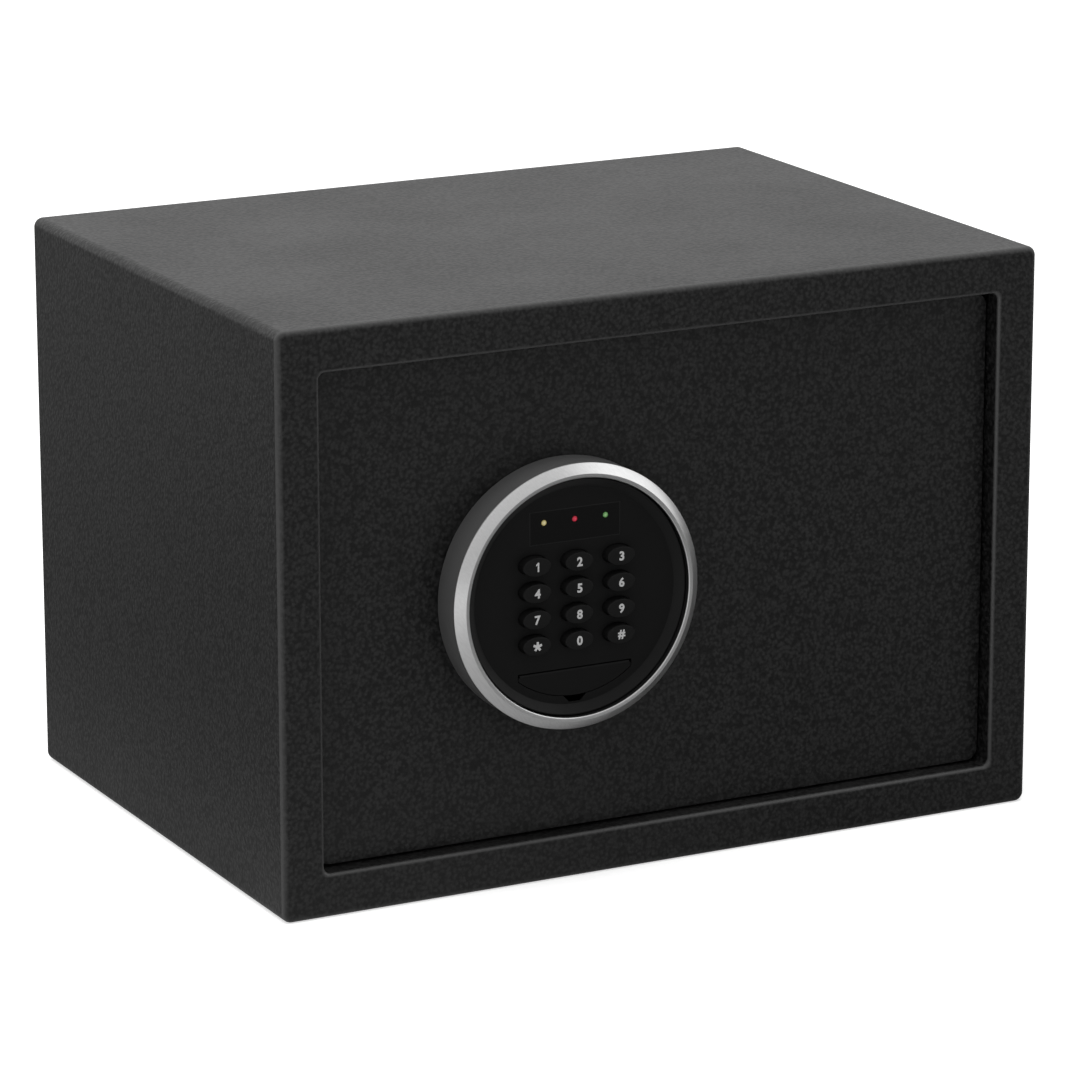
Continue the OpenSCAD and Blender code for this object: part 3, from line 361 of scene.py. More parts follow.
def make_turned_group():
    """Fine lines that run round an axis square on the door: noise over the radius and the
    two cosines of the direction, so that it closes on itself."""
    tree, put, get = group("turned_lines", [("Place", "vector", None), ("Fineness", "value", 9.0)],
                           [("Height", "value"), ("Tone", "value")])
    part = add(tree, "SeparateXYZ", {"Vector": put["Place"]}).outputs
    square = maths(tree, "ADD", maths(tree, "MULTIPLY", part["X"], part["X"]),
                   maths(tree, "MULTIPLY", part["Z"], part["Z"]))
    radius = maths(tree, "MAXIMUM", maths(tree, "SQRT", square), 0.0001)
    across = add(tree, "CombineXYZ", {
        "X": maths(tree, "MULTIPLY", radius, 900.0),
        "Y": maths(tree, "MULTIPLY", maths(tree, "DIVIDE", part["X"], radius), 1.6),
        "Z": maths(tree, "MULTIPLY", maths(tree, "DIVIDE", part["Z"], radius), 1.6)})
    lines = add(tree, "TexNoise", {"Vector": across.outputs[0], "Scale": put["Fineness"],
                                   "Detail": 3.0, "Roughness": 0.6})
    tree.links.new(lines.outputs["Fac"], get["Height"])
    tree.links.new(spread(tree, lines.outputs["Fac"], 0.3, 0.7), get["Tone"])


def make_drawn_group():
    """Straight lines of drawn or brushed metal: noise stretched along one direction."""
    tree, put, get = group("drawn_lines", [("Place", "vector", None), ("Stretch", "vector", None)],
                           [("Height", "value"), ("Tone", "value")])
    turned = add(tree, "VectorMath", {0: put["Place"], 1: put["Stretch"]}, operation="MULTIPLY")
    lines = add(tree, "TexNoise", {"Vector": turned.outputs[0], "Scale": 1.0, "Detail": 3.0,
                                   "Roughness": 0.6})
    tree.links.new(lines.outputs["Fac"], get["Height"])
    tree.links.new(spread(tree, lines.outputs["Fac"], 0.3, 0.7), get["Tone"])


def make_grain_group():
    """Fine even grain of moulded plastic or rubber, with faint marks of handling."""
    tree, put, get = group("moulded_grain",
                           [("Place", "vector", None), ("Fineness", "value", 2500.0)],
                           [("Height", "value"), ("Tone", "value"), ("Marks", "value")])
    grain = add(tree, "TexNoise", {"Vector": put["Place"], "Scale": put["Fineness"],
                                   "Detail": 2.0, "Roughness": 0.6})
    marks = add(tree, "TexNoise", {"Vector": put["Place"], "Scale": 60.0, "Detail": 4.0,
                                   "Roughness": 0.65, "Distortion": 0.8})
    tree.links.new(grain.outputs["Fac"], get["Height"])
    tree.links.new(spread(tree, grain.outputs["Fac"], 0.3, 0.7), get["Tone"])
    tree.links.new(spread(tree, marks.outputs["Fac"], 0.35, 0.75), get["Marks"])


def make_dust_group():
    """Thin dust that lies on faces that look up, in patches."""
    tree, put, get = group("settled_dust", [("Place", "vector", None), ("Amount", "value", 0.3)],
                           [("Mask", "value")])
    up = add(tree, "SeparateXYZ", {"Vector": add(tree, "NewGeometry").outputs["Normal"]})
    patches = add(tree, "TexNoise", {"Vector": put["Place"], "Scale": 14.0, "Detail": 5.0,
                                     "Roughness": 0.6})
    mask = maths(tree, "MULTIPLY", spread(tree, up.outputs["Z"], 0.6, 1.0),
                 spread(tree, patches.outputs["Fac"], 0.35, 0.75))
    tree.links.new(maths(tree, "MULTIPLY", mask, put["Amount"]), get["Mask"])


def blank(name, **shader_values):
    """A new material, its node tree, its Principled shader and its object coordinates."""
    material = bpy.data.materials.new(name)
    material.use_nodes = True
    tree = material.node_tree
    shader = tree.nodes["Principled BSDF"]
    for key, value in shader_values.items():
        shader.inputs[key.replace("_", " ")].default_value = value
    place = add(tree, "TexCoord").outputs["Object"]
    return material, tree, shader, place


def bump(tree, shader, height, strength, distance):
    """Small relief, whose whole height is the distance in millimetres."""
    relief = add(tree, "Bump", {"Height": height, "Strength": strength, "Distance": distance * MM})
    tree.links.new(relief.outputs["Normal"], shader.inputs["Normal"])


def grey(value, warmth=0.0):
    """Nearly neutral colour of the given brightness."""
    return (value * (1 + warmth), value, value * (1 - warmth), 1.0)


def textured_black():
    """Textured black powder coat of the body and the door, with a painted highlight: paler
    along the outer edge and the opening's edge of the front frame."""
    material, tree, shader, place = blank("textured_black")
    peel = place_group(tree, "powder_peel", {"Place": place})
    dust = place_group(tree, "settled_dust", {"Place": place, "Amount": 0.05})
    # painted highlight: a paler grey along the front frame's rounded edges, where light catches
    # them
    edge_highlight = add(tree, "Attribute", attribute_name="painted_edge_highlight").outputs["Fac"]
    fleck = spread(tree, peel["Tone"], 0.15, 0.85)
    colour = blended(tree, fleck, grey(0.001), grey(0.0162))
    colour = blended(tree, edge_highlight, colour, grey(0.055))
    colour = blended(tree, dust["Mask"], colour, grey(0.2, 0.03))
    tree.links.new(colour, shader.inputs["Base Color"])
    rough = maths(tree, "ADD", spread(tree, fleck, 0, 1, 0.45, 0.41),
                  spread(tree, peel["Drift"], 0, 1, -0.02, 0.03))
    tree.links.new(rough, shader.inputs["Roughness"])
    bump(tree, shader, peel["Height"], 0.5, 0.28)
    return material


def link_grain(tree, shader, grain, colour, rough, relief):
    """Links a moulded surface: its colour, a roughness that grows in its marks, its grain."""
    tree.links.new(colour, shader.inputs["Base Color"])
    tree.links.new(spread(tree, grain["Marks"], 0, 1, rough, rough + 0.06),
                   shader.inputs["Roughness"])
    bump(tree, shader, grain["Height"], 0.5, relief)


def moulded(name, dark, light, rough, relief=0.05, fineness=2500.0):
    """Moulded plastic or rubber with grain and handling marks."""
    material, tree, shader, place = blank(name)
    grain = place_group(tree, "moulded_grain", {"Place": place, "Fineness": fineness})
    link_grain(tree, shader, grain, blended(tree, grain["Tone"], dark, light), rough, relief)
    return material


def axis_reach(tree, place, x, z):
    """Distance of a place from an axis that stands square on the door."""
    centred = add(tree, "Mapping", {"Vector": place, "Location": (-x, 0, -z), "Scale": (1, 0, 1)})
    return add(tree, "VectorMath", {0: centred.outputs[0]}, operation="LENGTH").outputs["Value"]


def turned_metal(name, dark, light, rough):
    """Metal with fine lines round the ring's axis."""
    material, tree, shader, place = blank(name, Metallic=1.0)
    centred = add(tree, "Mapping", {"Vector": place, "Location": (-AXIS_X, 0, -AXIS_Z)})
    lines = place_group(tree, "turned_lines", {"Place": centred.outputs[0]})
    tree.links.new(blended(tree, lines["Tone"], dark, light), shader.inputs["Base Color"])
    tree.links.new(spread(tree, lines["Tone"], 0, 1, rough, rough + 0.1),
                   shader.inputs["Roughness"])
    bump(tree, shader, lines["Height"], 0.35, 0.02)
    return material


def brushed_metal(name, dark, light, rough, slant):
    """Satin metal brushed straight across in one slanting direction, with faint marks and a
    dark inner wall."""
    material, tree, shader, place = blank(name)
    turned = add(tree, "Mapping", {"Vector": place, "Rotation": (0, math.radians(slant), 0)})
    lines = place_group(tree, "drawn_lines", {"Place": turned.outputs[0],
                                              "Stretch": (160, 900, 2600)})
    marks = place_group(tree, "moulded_grain", {"Place": place, "Fineness": 1500.0})
    from_axis = axis_reach(tree, place, AXIS_X, AXIS_Z)
    wall = spread(tree, from_axis, RIM_INNER + 0.05 * MM, RIM_INNER + 0.2 * MM)
    colour = blended(tree, lines["Tone"], dark, light)
    tree.links.new(blended(tree, wall, grey(0.012), colour), shader.inputs["Base Color"])
    tree.links.new(spread(tree, wall, 0, 1, 0.0, 0.94), shader.inputs["Metallic"])
    tree.links.new(spread(tree, marks["Marks"], 0, 1, rough, rough + 0.06),
                   shader.inputs["Roughness"])
    bump(tree, shader, lines["Height"], 0.3, 0.02)
    return material


def drawn_metal(name, dark, light, rough, stretch, strength=0.3):
    """Rolled, drawn or ground metal with straight fine lines."""
    material, tree, shader, place = blank(name, Metallic=1.0)
    lines = place_group(tree, "drawn_lines", {"Place": place, "Stretch": stretch})
    marks = place_group(tree, "moulded_grain", {"Place": place, "Fineness": 900.0})
    colour = blended(tree, lines["Tone"], dark, light)
    tree.links.new(colour, shader.inputs["Base Color"])
    tree.links.new(spread(tree, marks["Marks"], 0, 1, rough, rough + 0.12),
                   shader.inputs["Roughness"])
    bump(tree, shader, lines["Height"], strength, 0.02)
    return material


def panel_plastic():
    """Moulded plastic of the keypad's face and its flap: painted light makes it paler on the
    dished edge where that looks down to the right, and painted shade makes it matt black below
    the face's plane, in the notch and the key holes."""
    material, tree, shader, place = blank("panel_plastic")
    grain = place_group(tree, "moulded_grain", {"Place": place, "Fineness": 2500.0})
    facing = add(tree, "TexCoord").outputs["Normal"]
    # painted light: the dished edge is paler where its normal leans down and to the right, as if
    # lit from below
    painted_light_aim = (0.85, 0, -0.5)
    lean = add(tree, "VectorMath", {0: facing, 1: painted_light_aim},
               operation="DOT_PRODUCT").outputs["Value"]
    # painted shade: black with no specular below the face's plane, in the notch and the key holes
    behind = add(tree, "SeparateXYZ", {"Vector": place}).outputs["Y"]
    painted_recess_shade = spread(tree, behind, DOOR_FACE - PANEL_OUT + 0.25 * MM, DOOR_FACE - PANEL_OUT + 0.8 * MM)
    colour = blended(tree, grain["Tone"], grey(0.006), grey(0.0074))
    painted_dish_light = blended(tree, spread(tree, lean, 0.1, 0.5), grey(0.0085), grey(0.023))
    dished = spread(tree, axis_reach(tree, place, AXIS_X, AXIS_Z), DISH_INNER, DISH_FULL)
    colour = blended(tree, dished, colour, painted_dish_light)
    tree.links.new(spread(tree, painted_recess_shade, 0, 1, 0.14, 0.0), shader.inputs["Specular IOR Level"])
    link_grain(tree, shader, grain, blended(tree, painted_recess_shade, colour, grey(0.0)), 0.42, 0.03)
    return material


def key_rubber():
    """Moulded rubber of the keys, with painted shade: deeper black down their walls."""
    material, tree, shader, place = blank("key_rubber", Specular_IOR_Level=0.14)
    grain = place_group(tree, "moulded_grain", {"Place": place, "Fineness": 2500.0})
    facing = add(tree, "TexCoord").outputs["Normal"]
    # painted shade: the key walls, which face sideways, get a darker grey than the tops
    wall = spread(tree, add(tree, "SeparateXYZ", {"Vector": facing}).outputs["Y"], -0.9, -0.5)
    colour = blended(tree, grain["Tone"], grey(0.0068), grey(0.0092))
    tree.links.new(blended(tree, wall, colour, grey(0.0065)), shader.inputs["Base Color"])
    tree.links.new(spread(tree, grain["Marks"], 0, 1, 0.55, 0.6), shader.inputs["Roughness"])
    bump(tree, shader, grain["Height"], 0.5, 0.03)
    return material


def window_smoke():
    """Smoked plastic of the indicator window, with a painted highlight: a paler border round its
    edge.
    """
    material, tree, shader, place = blank("window_smoke", Specular_IOR_Level=0.15)
    low, high = node_box("led_window")
    grain = place_group(tree, "moulded_grain", {"Place": place, "Fineness": 2500.0})
    part = add(tree, "SeparateXYZ", {"Vector": place}).outputs
    border = 0.45 * MM
    middle = (low + high) / 2
    half = (high - low) / 2
    away = {i: maths(tree, "ABSOLUTE", maths(tree, "SUBTRACT", part["XYZ"[i]], middle[i]))
            for i in (0, 2)}
    edges = [spread(tree, away[i], half[i] - border, half[i]) for i in (0, 2)]
    # painted highlight: the border is paler, where the window's edge catches the light
    rim = maths(tree, "MAXIMUM", edges[0], edges[1])
    colour = blended(tree, grain["Tone"], grey(0.0042), grey(0.0054))
    link_grain(tree, shader, grain, blended(tree, rim, colour, grey(0.02)), 0.3, 0.01)
    return material


def lamp_lens(name, rim, glow):
    """Lit indicator: pale in the middle, and deeper in colour towards the lens's rim."""
    material, tree, shader, place = blank(name, Roughness=0.25, Emission_Strength=0.35)
    low, high = node_box(name)
    middle = (low + high) / 2
    from_middle = axis_reach(tree, place, middle[0], middle[2])
    grain = place_group(tree, "moulded_grain", {"Place": place, "Fineness": 3000.0})
    edge = maths(tree, "ADD", spread(tree, from_middle, 0.0, (high[0] - low[0]) / 2),
                 spread(tree, grain["Tone"], 0, 1, -0.08, 0.08), clamp=True)
    colour = blended(tree, edge, glow, rim)
    tree.links.new(colour, shader.inputs["Base Color"])
    tree.links.new(colour, shader.inputs["Emission Color"])
    return material


def circuit_board():
    """Solder mask with lighter tracks under it."""
    material, tree, shader, place = blank("board_green", Roughness=0.35)
    tracks = add(tree, "TexBrick", {"Vector": add(tree, "Mapping", {
        "Vector": place, "Rotation": (math.radians(90), 0, 0)}).outputs[0],
        "Scale": 110.0, "Mortar Size": 0.02, "Mortar Smooth": 0.1,
        "Color1": (0.012, 0.11, 0.04, 1), "Color2": (0.014, 0.13, 0.045, 1),
        "Mortar": (0.03, 0.22, 0.08, 1)}, offset=0.35, squash=0.6, squash_frequency=3)
    tree.links.new(tracks.outputs["Color"], shader.inputs["Base Color"])
    bump(tree, shader, tracks.outputs["Fac"], 0.3, 0.03)
    return material


def wound_copper():
    """Lacquered wire in level turns round the coil's upright axis."""
    material, tree, shader, place = blank("coil_copper", Roughness=0.3)
    turns = add(tree, "TexWave", {"Vector": place, "Scale": 180.0, "Distortion": 0.4,
                                  "Detail": 1.0}, wave_type="BANDS", bands_direction="Z")
    tree.links.new(blended(tree, turns.outputs["Fac"], (0.16, 0.045, 0.015, 1),
                           (0.42, 0.15, 0.05, 1)), shader.inputs["Base Color"])
    bump(tree, shader, turns.outputs["Fac"], 0.8, 0.15)
    return material


def battery_jacket():
    """Plain dark sleeve with a coppery end band and a pale tip."""
    material, tree, shader, place = blank("battery_jacket", Metallic=0.7, Roughness=0.3)
    top = node_box("batteries")[1][2]
    height = add(tree, "SeparateXYZ", {"Vector": place}).outputs["Z"]
    band = maths(tree, "GREATER_THAN", height, top - 13 * MM)
    tip = maths(tree, "GREATER_THAN", height, top - 1.2 * MM)
    grain = place_group(tree, "moulded_grain", {"Place": place, "Fineness": 1200.0})
    sleeve = blended(tree, grain["Tone"], grey(0.018), grey(0.03))
    colour = blended(tree, band, sleeve, (0.5, 0.24, 0.09, 1))
    tree.links.new(blended(tree, tip, colour, grey(0.6)), shader.inputs["Base Color"])
    return material


def felt():
    """Needled felt: short crossing fibres."""
    material, tree, shader, place = blank("mat_felt", Roughness=0.95, Sheen_Weight=0.3)
    fibres = add(tree, "TexNoise", {"Vector": place, "Scale": 1400.0, "Detail": 4.0,
                                    "Roughness": 0.75, "Distortion": 2.0})
    mottle = add(tree, "TexNoise", {"Vector": place, "Scale": 160.0, "Detail": 3.0})
    tone = maths(tree, "MULTIPLY", fibres.outputs["Fac"], mottle.outputs["Fac"])
    tree.links.new(blended(tree, spread(tree, tone, 0.12, 0.4), grey(0.014), grey(0.06)),
                   shader.inputs["Base Color"])
    bump(tree, shader, fibres.outputs["Fac"], 0.8, 0.4)
    return material


def make_materials():
    """Every finish by its slot name in the record, with the legends' white and the finishes
    of the control board's parts."""
    for make in (make_powder_group, make_turned_group, make_drawn_group, make_grain_group,
                 make_dust_group):
        make()
    flat = (60.0, 60.0, 2500.0)
    return {
        "textured_black": textured_black(),
        "collar_plastic": moulded("collar_plastic", grey(0.074), grey(0.086), 0.5),
        "ring_silver": brushed_metal("ring_silver", grey(0.74), grey(0.84), 0.28, -50),
        "panel_plastic": panel_plastic(),
        "key_rubber": key_rubber(),
        "window_smoke": window_smoke(),
        "led_yellow": lamp_lens("led_yellow", (0.31, 0.25, 0.08, 1), (0.6, 0.55, 0.33, 1)),
        "led_red": lamp_lens("led_red", (0.3, 0.008, 0.02, 1), (0.58, 0.045, 0.09, 1)),
        "led_green": lamp_lens("led_green", (0.05, 0.16, 0.04, 1), (0.26, 0.45, 0.2, 1)),
        "zinc_steel": drawn_metal("zinc_steel", grey(0.46, 0.01), grey(0.58, 0.01), 0.34, flat),
        "bright_steel": drawn_metal("bright_steel", grey(0.66), grey(0.76), 0.14,
                                    (2500.0, 80.0, 80.0), 0.15),
        "cover_plastic": moulded("cover_plastic", grey(0.012), grey(0.018), 0.5, 0.1, 1300.0),
        "board_green": circuit_board(),
        "coil_copper": wound_copper(),
        "battery_jacket": battery_jacket(),
        "cable_grey": moulded("cable_grey", grey(0.1), grey(0.13), 0.5, 0.04),
        "lock_brass": turned_metal("lock_brass", (0.5, 0.34, 0.12, 1), (0.66, 0.48, 0.2, 1), 0.25),
        "mat_felt": felt(),
        "reset_red": moulded("reset_red", (0.36, 0.012, 0.01, 1), (0.42, 0.02, 0.015, 1), 0.3),
        "legend_white": moulded("legend_white", grey(0.44), grey(0.52), 0.45, 0.01),
        "chip_black": moulded("chip_black", grey(0.01), grey(0.016), 0.5, 0.05),
        "part_blue": moulded("part_blue", (0.01, 0.03, 0.12, 1), (0.015, 0.04, 0.16, 1), 0.3),
        "post_white": moulded("post_white", grey(0.55, 0.02), grey(0.6, 0.02), 0.4),
    }


FINISHES = make_materials()


def dress(piece, *nodes):
    """Gives a piece the finish, body and slot of the CAD nodes that it stands for."""
    slot = SLOTS[nodes[0]]
    if not piece.data.materials:
        piece.data.materials.append(FINISHES[slot])
    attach(piece, NODES[nodes[0]]["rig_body"])
    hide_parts(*nodes)
    return piece


def make_body():
    """Folded steel body: one sheet profile carried round the rounded outline.

    The profile is a run of (inset from the outside, depth, corner radius). It goes round the
    back edge, along the side, round the front edge, over the front frame, round into the
    lip, and back along the inside to the rear flange. The outer edge and the opening's edge
    of the front frame are marked for a painted highlight.
    """
    low, high = BODY_LOW, BODY_HIGH
    half_w = (high[0] - low[0]) / 2
    half_h = (high[2] - low[2]) / 2
    front, back = low[1], high[1]
    lip = front + LIP_DEPTH
    small = 0.5 * MM
    corners = [[BACK_FLANGE, back - SHEET], [BACK_FLANGE, back], [0, back], [0, front],
               [FRAME_W, front], [FRAME_W, lip], [FRAME_W - SHEET, lip],
               [FRAME_W - SHEET, front + SHEET], [SHEET, front + SHEET], [SHEET, back - SHEET]]
    radii = [small, small, FACE_R, FACE_R, LIP_R, 0.8 * small, 0.8 * small, small, small, small]
    steps = 8
    inset, y = filleted(corners, radii, steps).T
    outer = np.interp(inset, [0, FACE_R, BACK_FLANGE - small],
                      [EDGE_R, EDGE_R - FACE_R, OPENING_R])
    inner = np.interp(inset, [SHEET, FRAME_W - SHEET, FRAME_W],
                      [EDGE_R - SHEET, OPENING_R + SHEET, OPENING_R])
    count = steps + 1
    radius = np.concatenate([outer[:6 * count], inner[6 * count:9 * count],
                             np.full(count, EDGE_R - SHEET)])
    points = rounded_loops(half_w - inset, half_h - inset, radius, y)
    points[..., 2] += (low[2] + high[2]) / 2
    shell = surface("safe_body", points)
    # painted highlight: share of a paler colour on the front edge's rounding and on the opening's
    # edge, where light catches them
    highlight_share = np.zeros(len(inset))
    highlight_share[3 * count:4 * count] = np.interp(np.arange(count), [0, 1, 3, 4, count - 1],
                                            [0, 1, 0.8, 0.5, 0])
    highlight_share[4 * count:5 * count] = np.sin(np.linspace(0, np.pi, count)) ** 2
    edge_highlight = shell.data.attributes.new("painted_edge_highlight", "FLOAT", "POINT")
    edge_highlight.data.foreach_set("value", np.broadcast_to(highlight_share, points.shape[:2]).reshape(-1))
    cut_holes(shell, [(-ANCHOR_X, ANCHOR_Y, 0), (ANCHOR_X, ANCHOR_Y, 0)], ANCHOR_R, 2, 4 * SHEET)
    smooth(shell.data)
    return dress(weighted(shell), "body_shell")


def make_ring():
    """Dark collar and bright brushed rim, both turned from rounded profiles."""
    drawn_r = 55.5
    made_r = (RING_HIGH[0] - RING_LOW[0]) / 2
    collar = filleted([[54, 0.3], [drawn_r, 0.3], [drawn_r, 14.8], [51, 14.8], [51, 2.8],
                       [54, 2.8]], [0.1, 0.3, 0.25, 0.1, 0.1, 0.1], 4)
    dress(lathe("ring_collar", collar * MM * (made_r / (drawn_r * MM))), "turn_collar")
    rim = filleted([[50.95, 11.8], [50.95, 14.8], [55.65, 14.8], [55.65, 15.35], [51.7, 18.6],
                    [50.4, 18.45], [50.0, 18.05], [50.0, 11.8]],
                   [0.1, 0.1, 0.15, 0.4, 0.2, 0.15, 0.15, 0.2], 5)
    dress(lathe("ring_rim", rim * MM, 320), "bezel_ring")


def key_height(across, up):
    """Height of a key's top over its shoulder: a shallow crown, and near the rim a quarter
    ellipse that falls to the side."""
    reach = np.sqrt((across / KEY_HALF[0]) ** 2 + (up / KEY_HALF[1]) ** 2)
    flat = 1 - KEY_SHOULDER / KEY_HALF.mean()
    fall = np.clip((reach - flat) / (1 - flat), 0, 1)
    edge = (KEY_ROUND - KEY_CROWN) * np.sqrt(np.clip(1 - fall ** 2, 0, 1))
    return edge + KEY_CROWN * np.clip(1 - (reach / flat) ** 2, 0, 1)


def make_key(node):
    """Oval key: a flange, a straight wall and a crowned top, as ellipses that shrink to the
    middle. The angle runs round the ellipse and the second parameter runs up the profile."""
    low, high = node_box(node)
    middle_x, middle_z = (low[0] + high[0]) / 2, (low[2] + high[2]) / 2
    bottom, top = DOOR_FACE - high[1], DOOR_FACE - low[1]
    shoulder = top - KEY_ROUND
    angle = np.linspace(0, 2 * np.pi, 96, endpoint=False)[:, None]
    share = np.cos(np.linspace(0, np.pi / 2, 26))[1:-1]
    share = np.concatenate([share, [0.02]])
    grow = np.array([KEY_FLANGE, KEY_FLANGE, 0, 0])
    out = np.array([bottom, bottom + KEY_FLANGE_T, bottom + KEY_FLANGE_T, shoulder])
    wall_x = np.cos(angle) * (KEY_HALF[0] + grow)
    wall_z = np.sin(angle) * (KEY_HALF[1] + grow)
    top_x = np.cos(angle) * KEY_HALF[0] * share
    top_z = np.sin(angle) * KEY_HALF[1] * share
    top_out = shoulder + key_height(top_x, top_z)
    x = np.concatenate([wall_x, top_x], 1)
    z = np.concatenate([wall_z, top_z], 1)
    out = np.concatenate([np.broadcast_to(out, wall_x.shape), top_out], 1)
    points = np.stack([middle_x + x, DOOR_FACE - out, middle_z + z], -1)
    dress(surface(node + "_cap", points, close_v=False, caps=True), node)
    make_legend(node, middle_x, middle_z, shoulder)


def star_outline():
    """Outline of a star with five straight arms: two corners at each arm's end, and between
    two arms the corner where their sides meet, half the arm's width over the sine of half the
    angle between them away."""
    half, length, turn = 0.13, 0.5, 2 * np.pi / 5
    aim = np.pi / 2 + turn * np.arange(5)[:, None, None]
    along = np.concatenate([np.cos(aim), np.sin(aim)], -1)
    across = np.concatenate([-np.sin(aim), np.cos(aim)], -1)
    between = np.concatenate([np.cos(aim + turn / 2), np.sin(aim + turn / 2)], -1)
    return np.concatenate([length * along - half * across, length * along + half * across,
                           half / np.sin(turn / 2) * between], 1).reshape(-1, 2)


def drawn_form(outline):
    """Flat body between two copies of a closed outline."""
    form = bmesh.new()
    front, back = ([form.verts.new((x, y, z)) for x, y in outline.tolist()]
                   for z in (LEGEND_FLAT, -LEGEND_FLAT))
    form.faces.new(front)
    form.faces.new(back[::-1])
    for i in range(len(front)):
        form.faces.new([front[i - 1], back[i - 1], back[i], front[i]])
    return form


def written_form(legend):
    """A character of the built-in font, thickened."""
    text = bpy.data.curves.new("legend_text", "FONT")
    text.body = legend
    text.size = 1.0
    text.offset = 0.036
    text.extrude = LEGEND_FLAT
    text.resolution_u = 6
    writer = link_up("legend_text", text)
    form = bmesh.new()
    form.from_mesh(evaluated(writer))
    bpy.data.objects.remove(writer)
    return form


def make_legend(node, middle_x, middle_z, shoulder):
    """Printed legend laid over the key's crown: a star and a one of straight strokes, and the
    built-in font's outline for the others."""
    legend = LEGENDS[node]
    own = {"*": star_outline, "1": lambda: ONE_OUTLINE}
    form = drawn_form(own[legend]()) if legend in own else written_form(legend)
    mesh = bpy.data.meshes.new(node + "_flat")
    bmesh.ops.remove_doubles(form, verts=form.verts, dist=0.0005)
    bmesh.ops.recalc_face_normals(form, faces=form.faces)
    bmesh.ops.triangulate(form, faces=form.faces)
    form.to_mesh(mesh)
    form.free()
    writer = link_up(node + "_outline", mesh)
    finer = writer.modifiers.new("Finer", "SUBSURF")
    finer.subdivision_type = "SIMPLE"
    finer.levels = 2
    finer.render_levels = 2
    mesh = evaluated(writer)
    bpy.data.objects.remove(writer)
    spots = np.empty(len(mesh.vertices) * 3)
    mesh.vertices.foreach_get("co", spots)
    spots = spots.reshape(-1, 3)
    low, high = spots.min(0), spots.max(0)
    scale = LEGEND_H / (high[1] - low[1])
    across = (spots[:, 0] - (low[0] + high[0]) / 2) * scale
    up = (spots[:, 1] - (low[1] + high[1]) / 2) * scale
    rise = np.where(spots[:, 2] > 0, LEGEND_PROUD, -LEGEND_PROUD)
    out = shoulder + key_height(across, up) + rise
    spots = np.stack([middle_x + across, DOOR_FACE - out, middle_z + up], -1)
    mesh.vertices.foreach_set("co", spots.reshape(-1))
    mesh.update()
    mesh.materials.append(FINISHES["legend_white"])
    mesh.name = node + "_legend"
    legend = link_up(node + "_legend", mesh)
    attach(legend, NODES[node]["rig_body"])


def make_lamp(node):
    """Indicator light: a stem with a low round lens."""
    low, high = node_box(node)
    radius = (high[0] - low[0]) / 2
    bottom, top = DOOR_FACE - high[1], DOOR_FACE - low[1]
    turn = np.linspace(0, 0.48 * np.pi, 10)
    lens = np.stack([radius * np.cos(turn), top - LENS_H + LENS_H * np.sin(turn)], -1)
    profile = np.concatenate([[[radius * 0.1, bottom], [radius, bottom]], lens])
    segments = 40
    angle = np.linspace(0, 2 * np.pi, segments, endpoint=False)[:, None]
    points = np.stack([(low[0] + high[0]) / 2 + np.cos(angle) * profile[:, 0],
                       np.broadcast_to(DOOR_FACE - profile[:, 1], (segments, len(profile))),
                       (low[2] + high[2]) / 2 + np.sin(angle) * profile[:, 0]], -1)
    dress(surface(node + "_lens", points, close_v=False, caps=True), node)


def make_spring():
    """Plunger spring: a wire whose centre climbs evenly round a helix, shut at both ends. It
    stretches between the door and the plunger."""
    low, high = node_box("plunger_spring")
    wire = 0.3 * MM
    radius = (high[0] - low[0]) / 2 - wire
    turns = 3
    per_turn = 32
    sides = 12
    step = np.linspace(0, 1, turns * per_turn + 1)[:, None]
    ring = np.linspace(0, 2 * np.pi, sides, endpoint=False)[None, :]
    angle = 2 * np.pi * turns * step
    reach = radius + wire * np.cos(ring)
    middle = (low + high) / 2
    points = np.stack([middle[0] + reach * np.cos(angle), middle[1] + reach * np.sin(angle),
                       low[2] + wire + (high[2] - low[2] - 2 * wire) * step
                       + wire * np.sin(ring)], -1)
    spring = surface("spring_wire", points.transpose(1, 0, 2), close_v=False, caps=True)
    spring.data.materials.append(FINISHES["bright_steel"])
    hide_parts("plunger_spring")
    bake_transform(spring)


def paint_board(piece):
    """Gives the control board's posts and raised parts their own finishes, by where their
    faces lie: 0 is the board, 1 the chip, the relay and the switch, 2 the capacitor and 3 the
    posts."""
    mesh = piece.data
    for name in ("board_green", "chip_black", "part_blue", "post_white"):
        mesh.materials.append(FINISHES[name])
    centres = np.empty(len(mesh.polygons) * 3)
    mesh.polygons.foreach_get("center", centres)
    centres = centres.reshape(-1, 3)
    low, high = node_box("control_board")
    off_middle = np.abs(centres[:, 0] - (low[0] + high[0]) / 2)
    upper = centres[:, 2] > (low[2] + high[2]) / 2
    depth = centres[:, 1] - (DOOR_FACE + DOOR_T + BOARD_GAP)
    index = np.zeros(len(centres), int)
    index[depth < -0.05 * MM] = 3
    index[depth > BOARD_T + 0.1 * MM] = 1
    index[upper & (off_middle < 9 * MM) & (depth > 3 * MM)] = 2
    mesh.polygons.foreach_set("material_index", index)


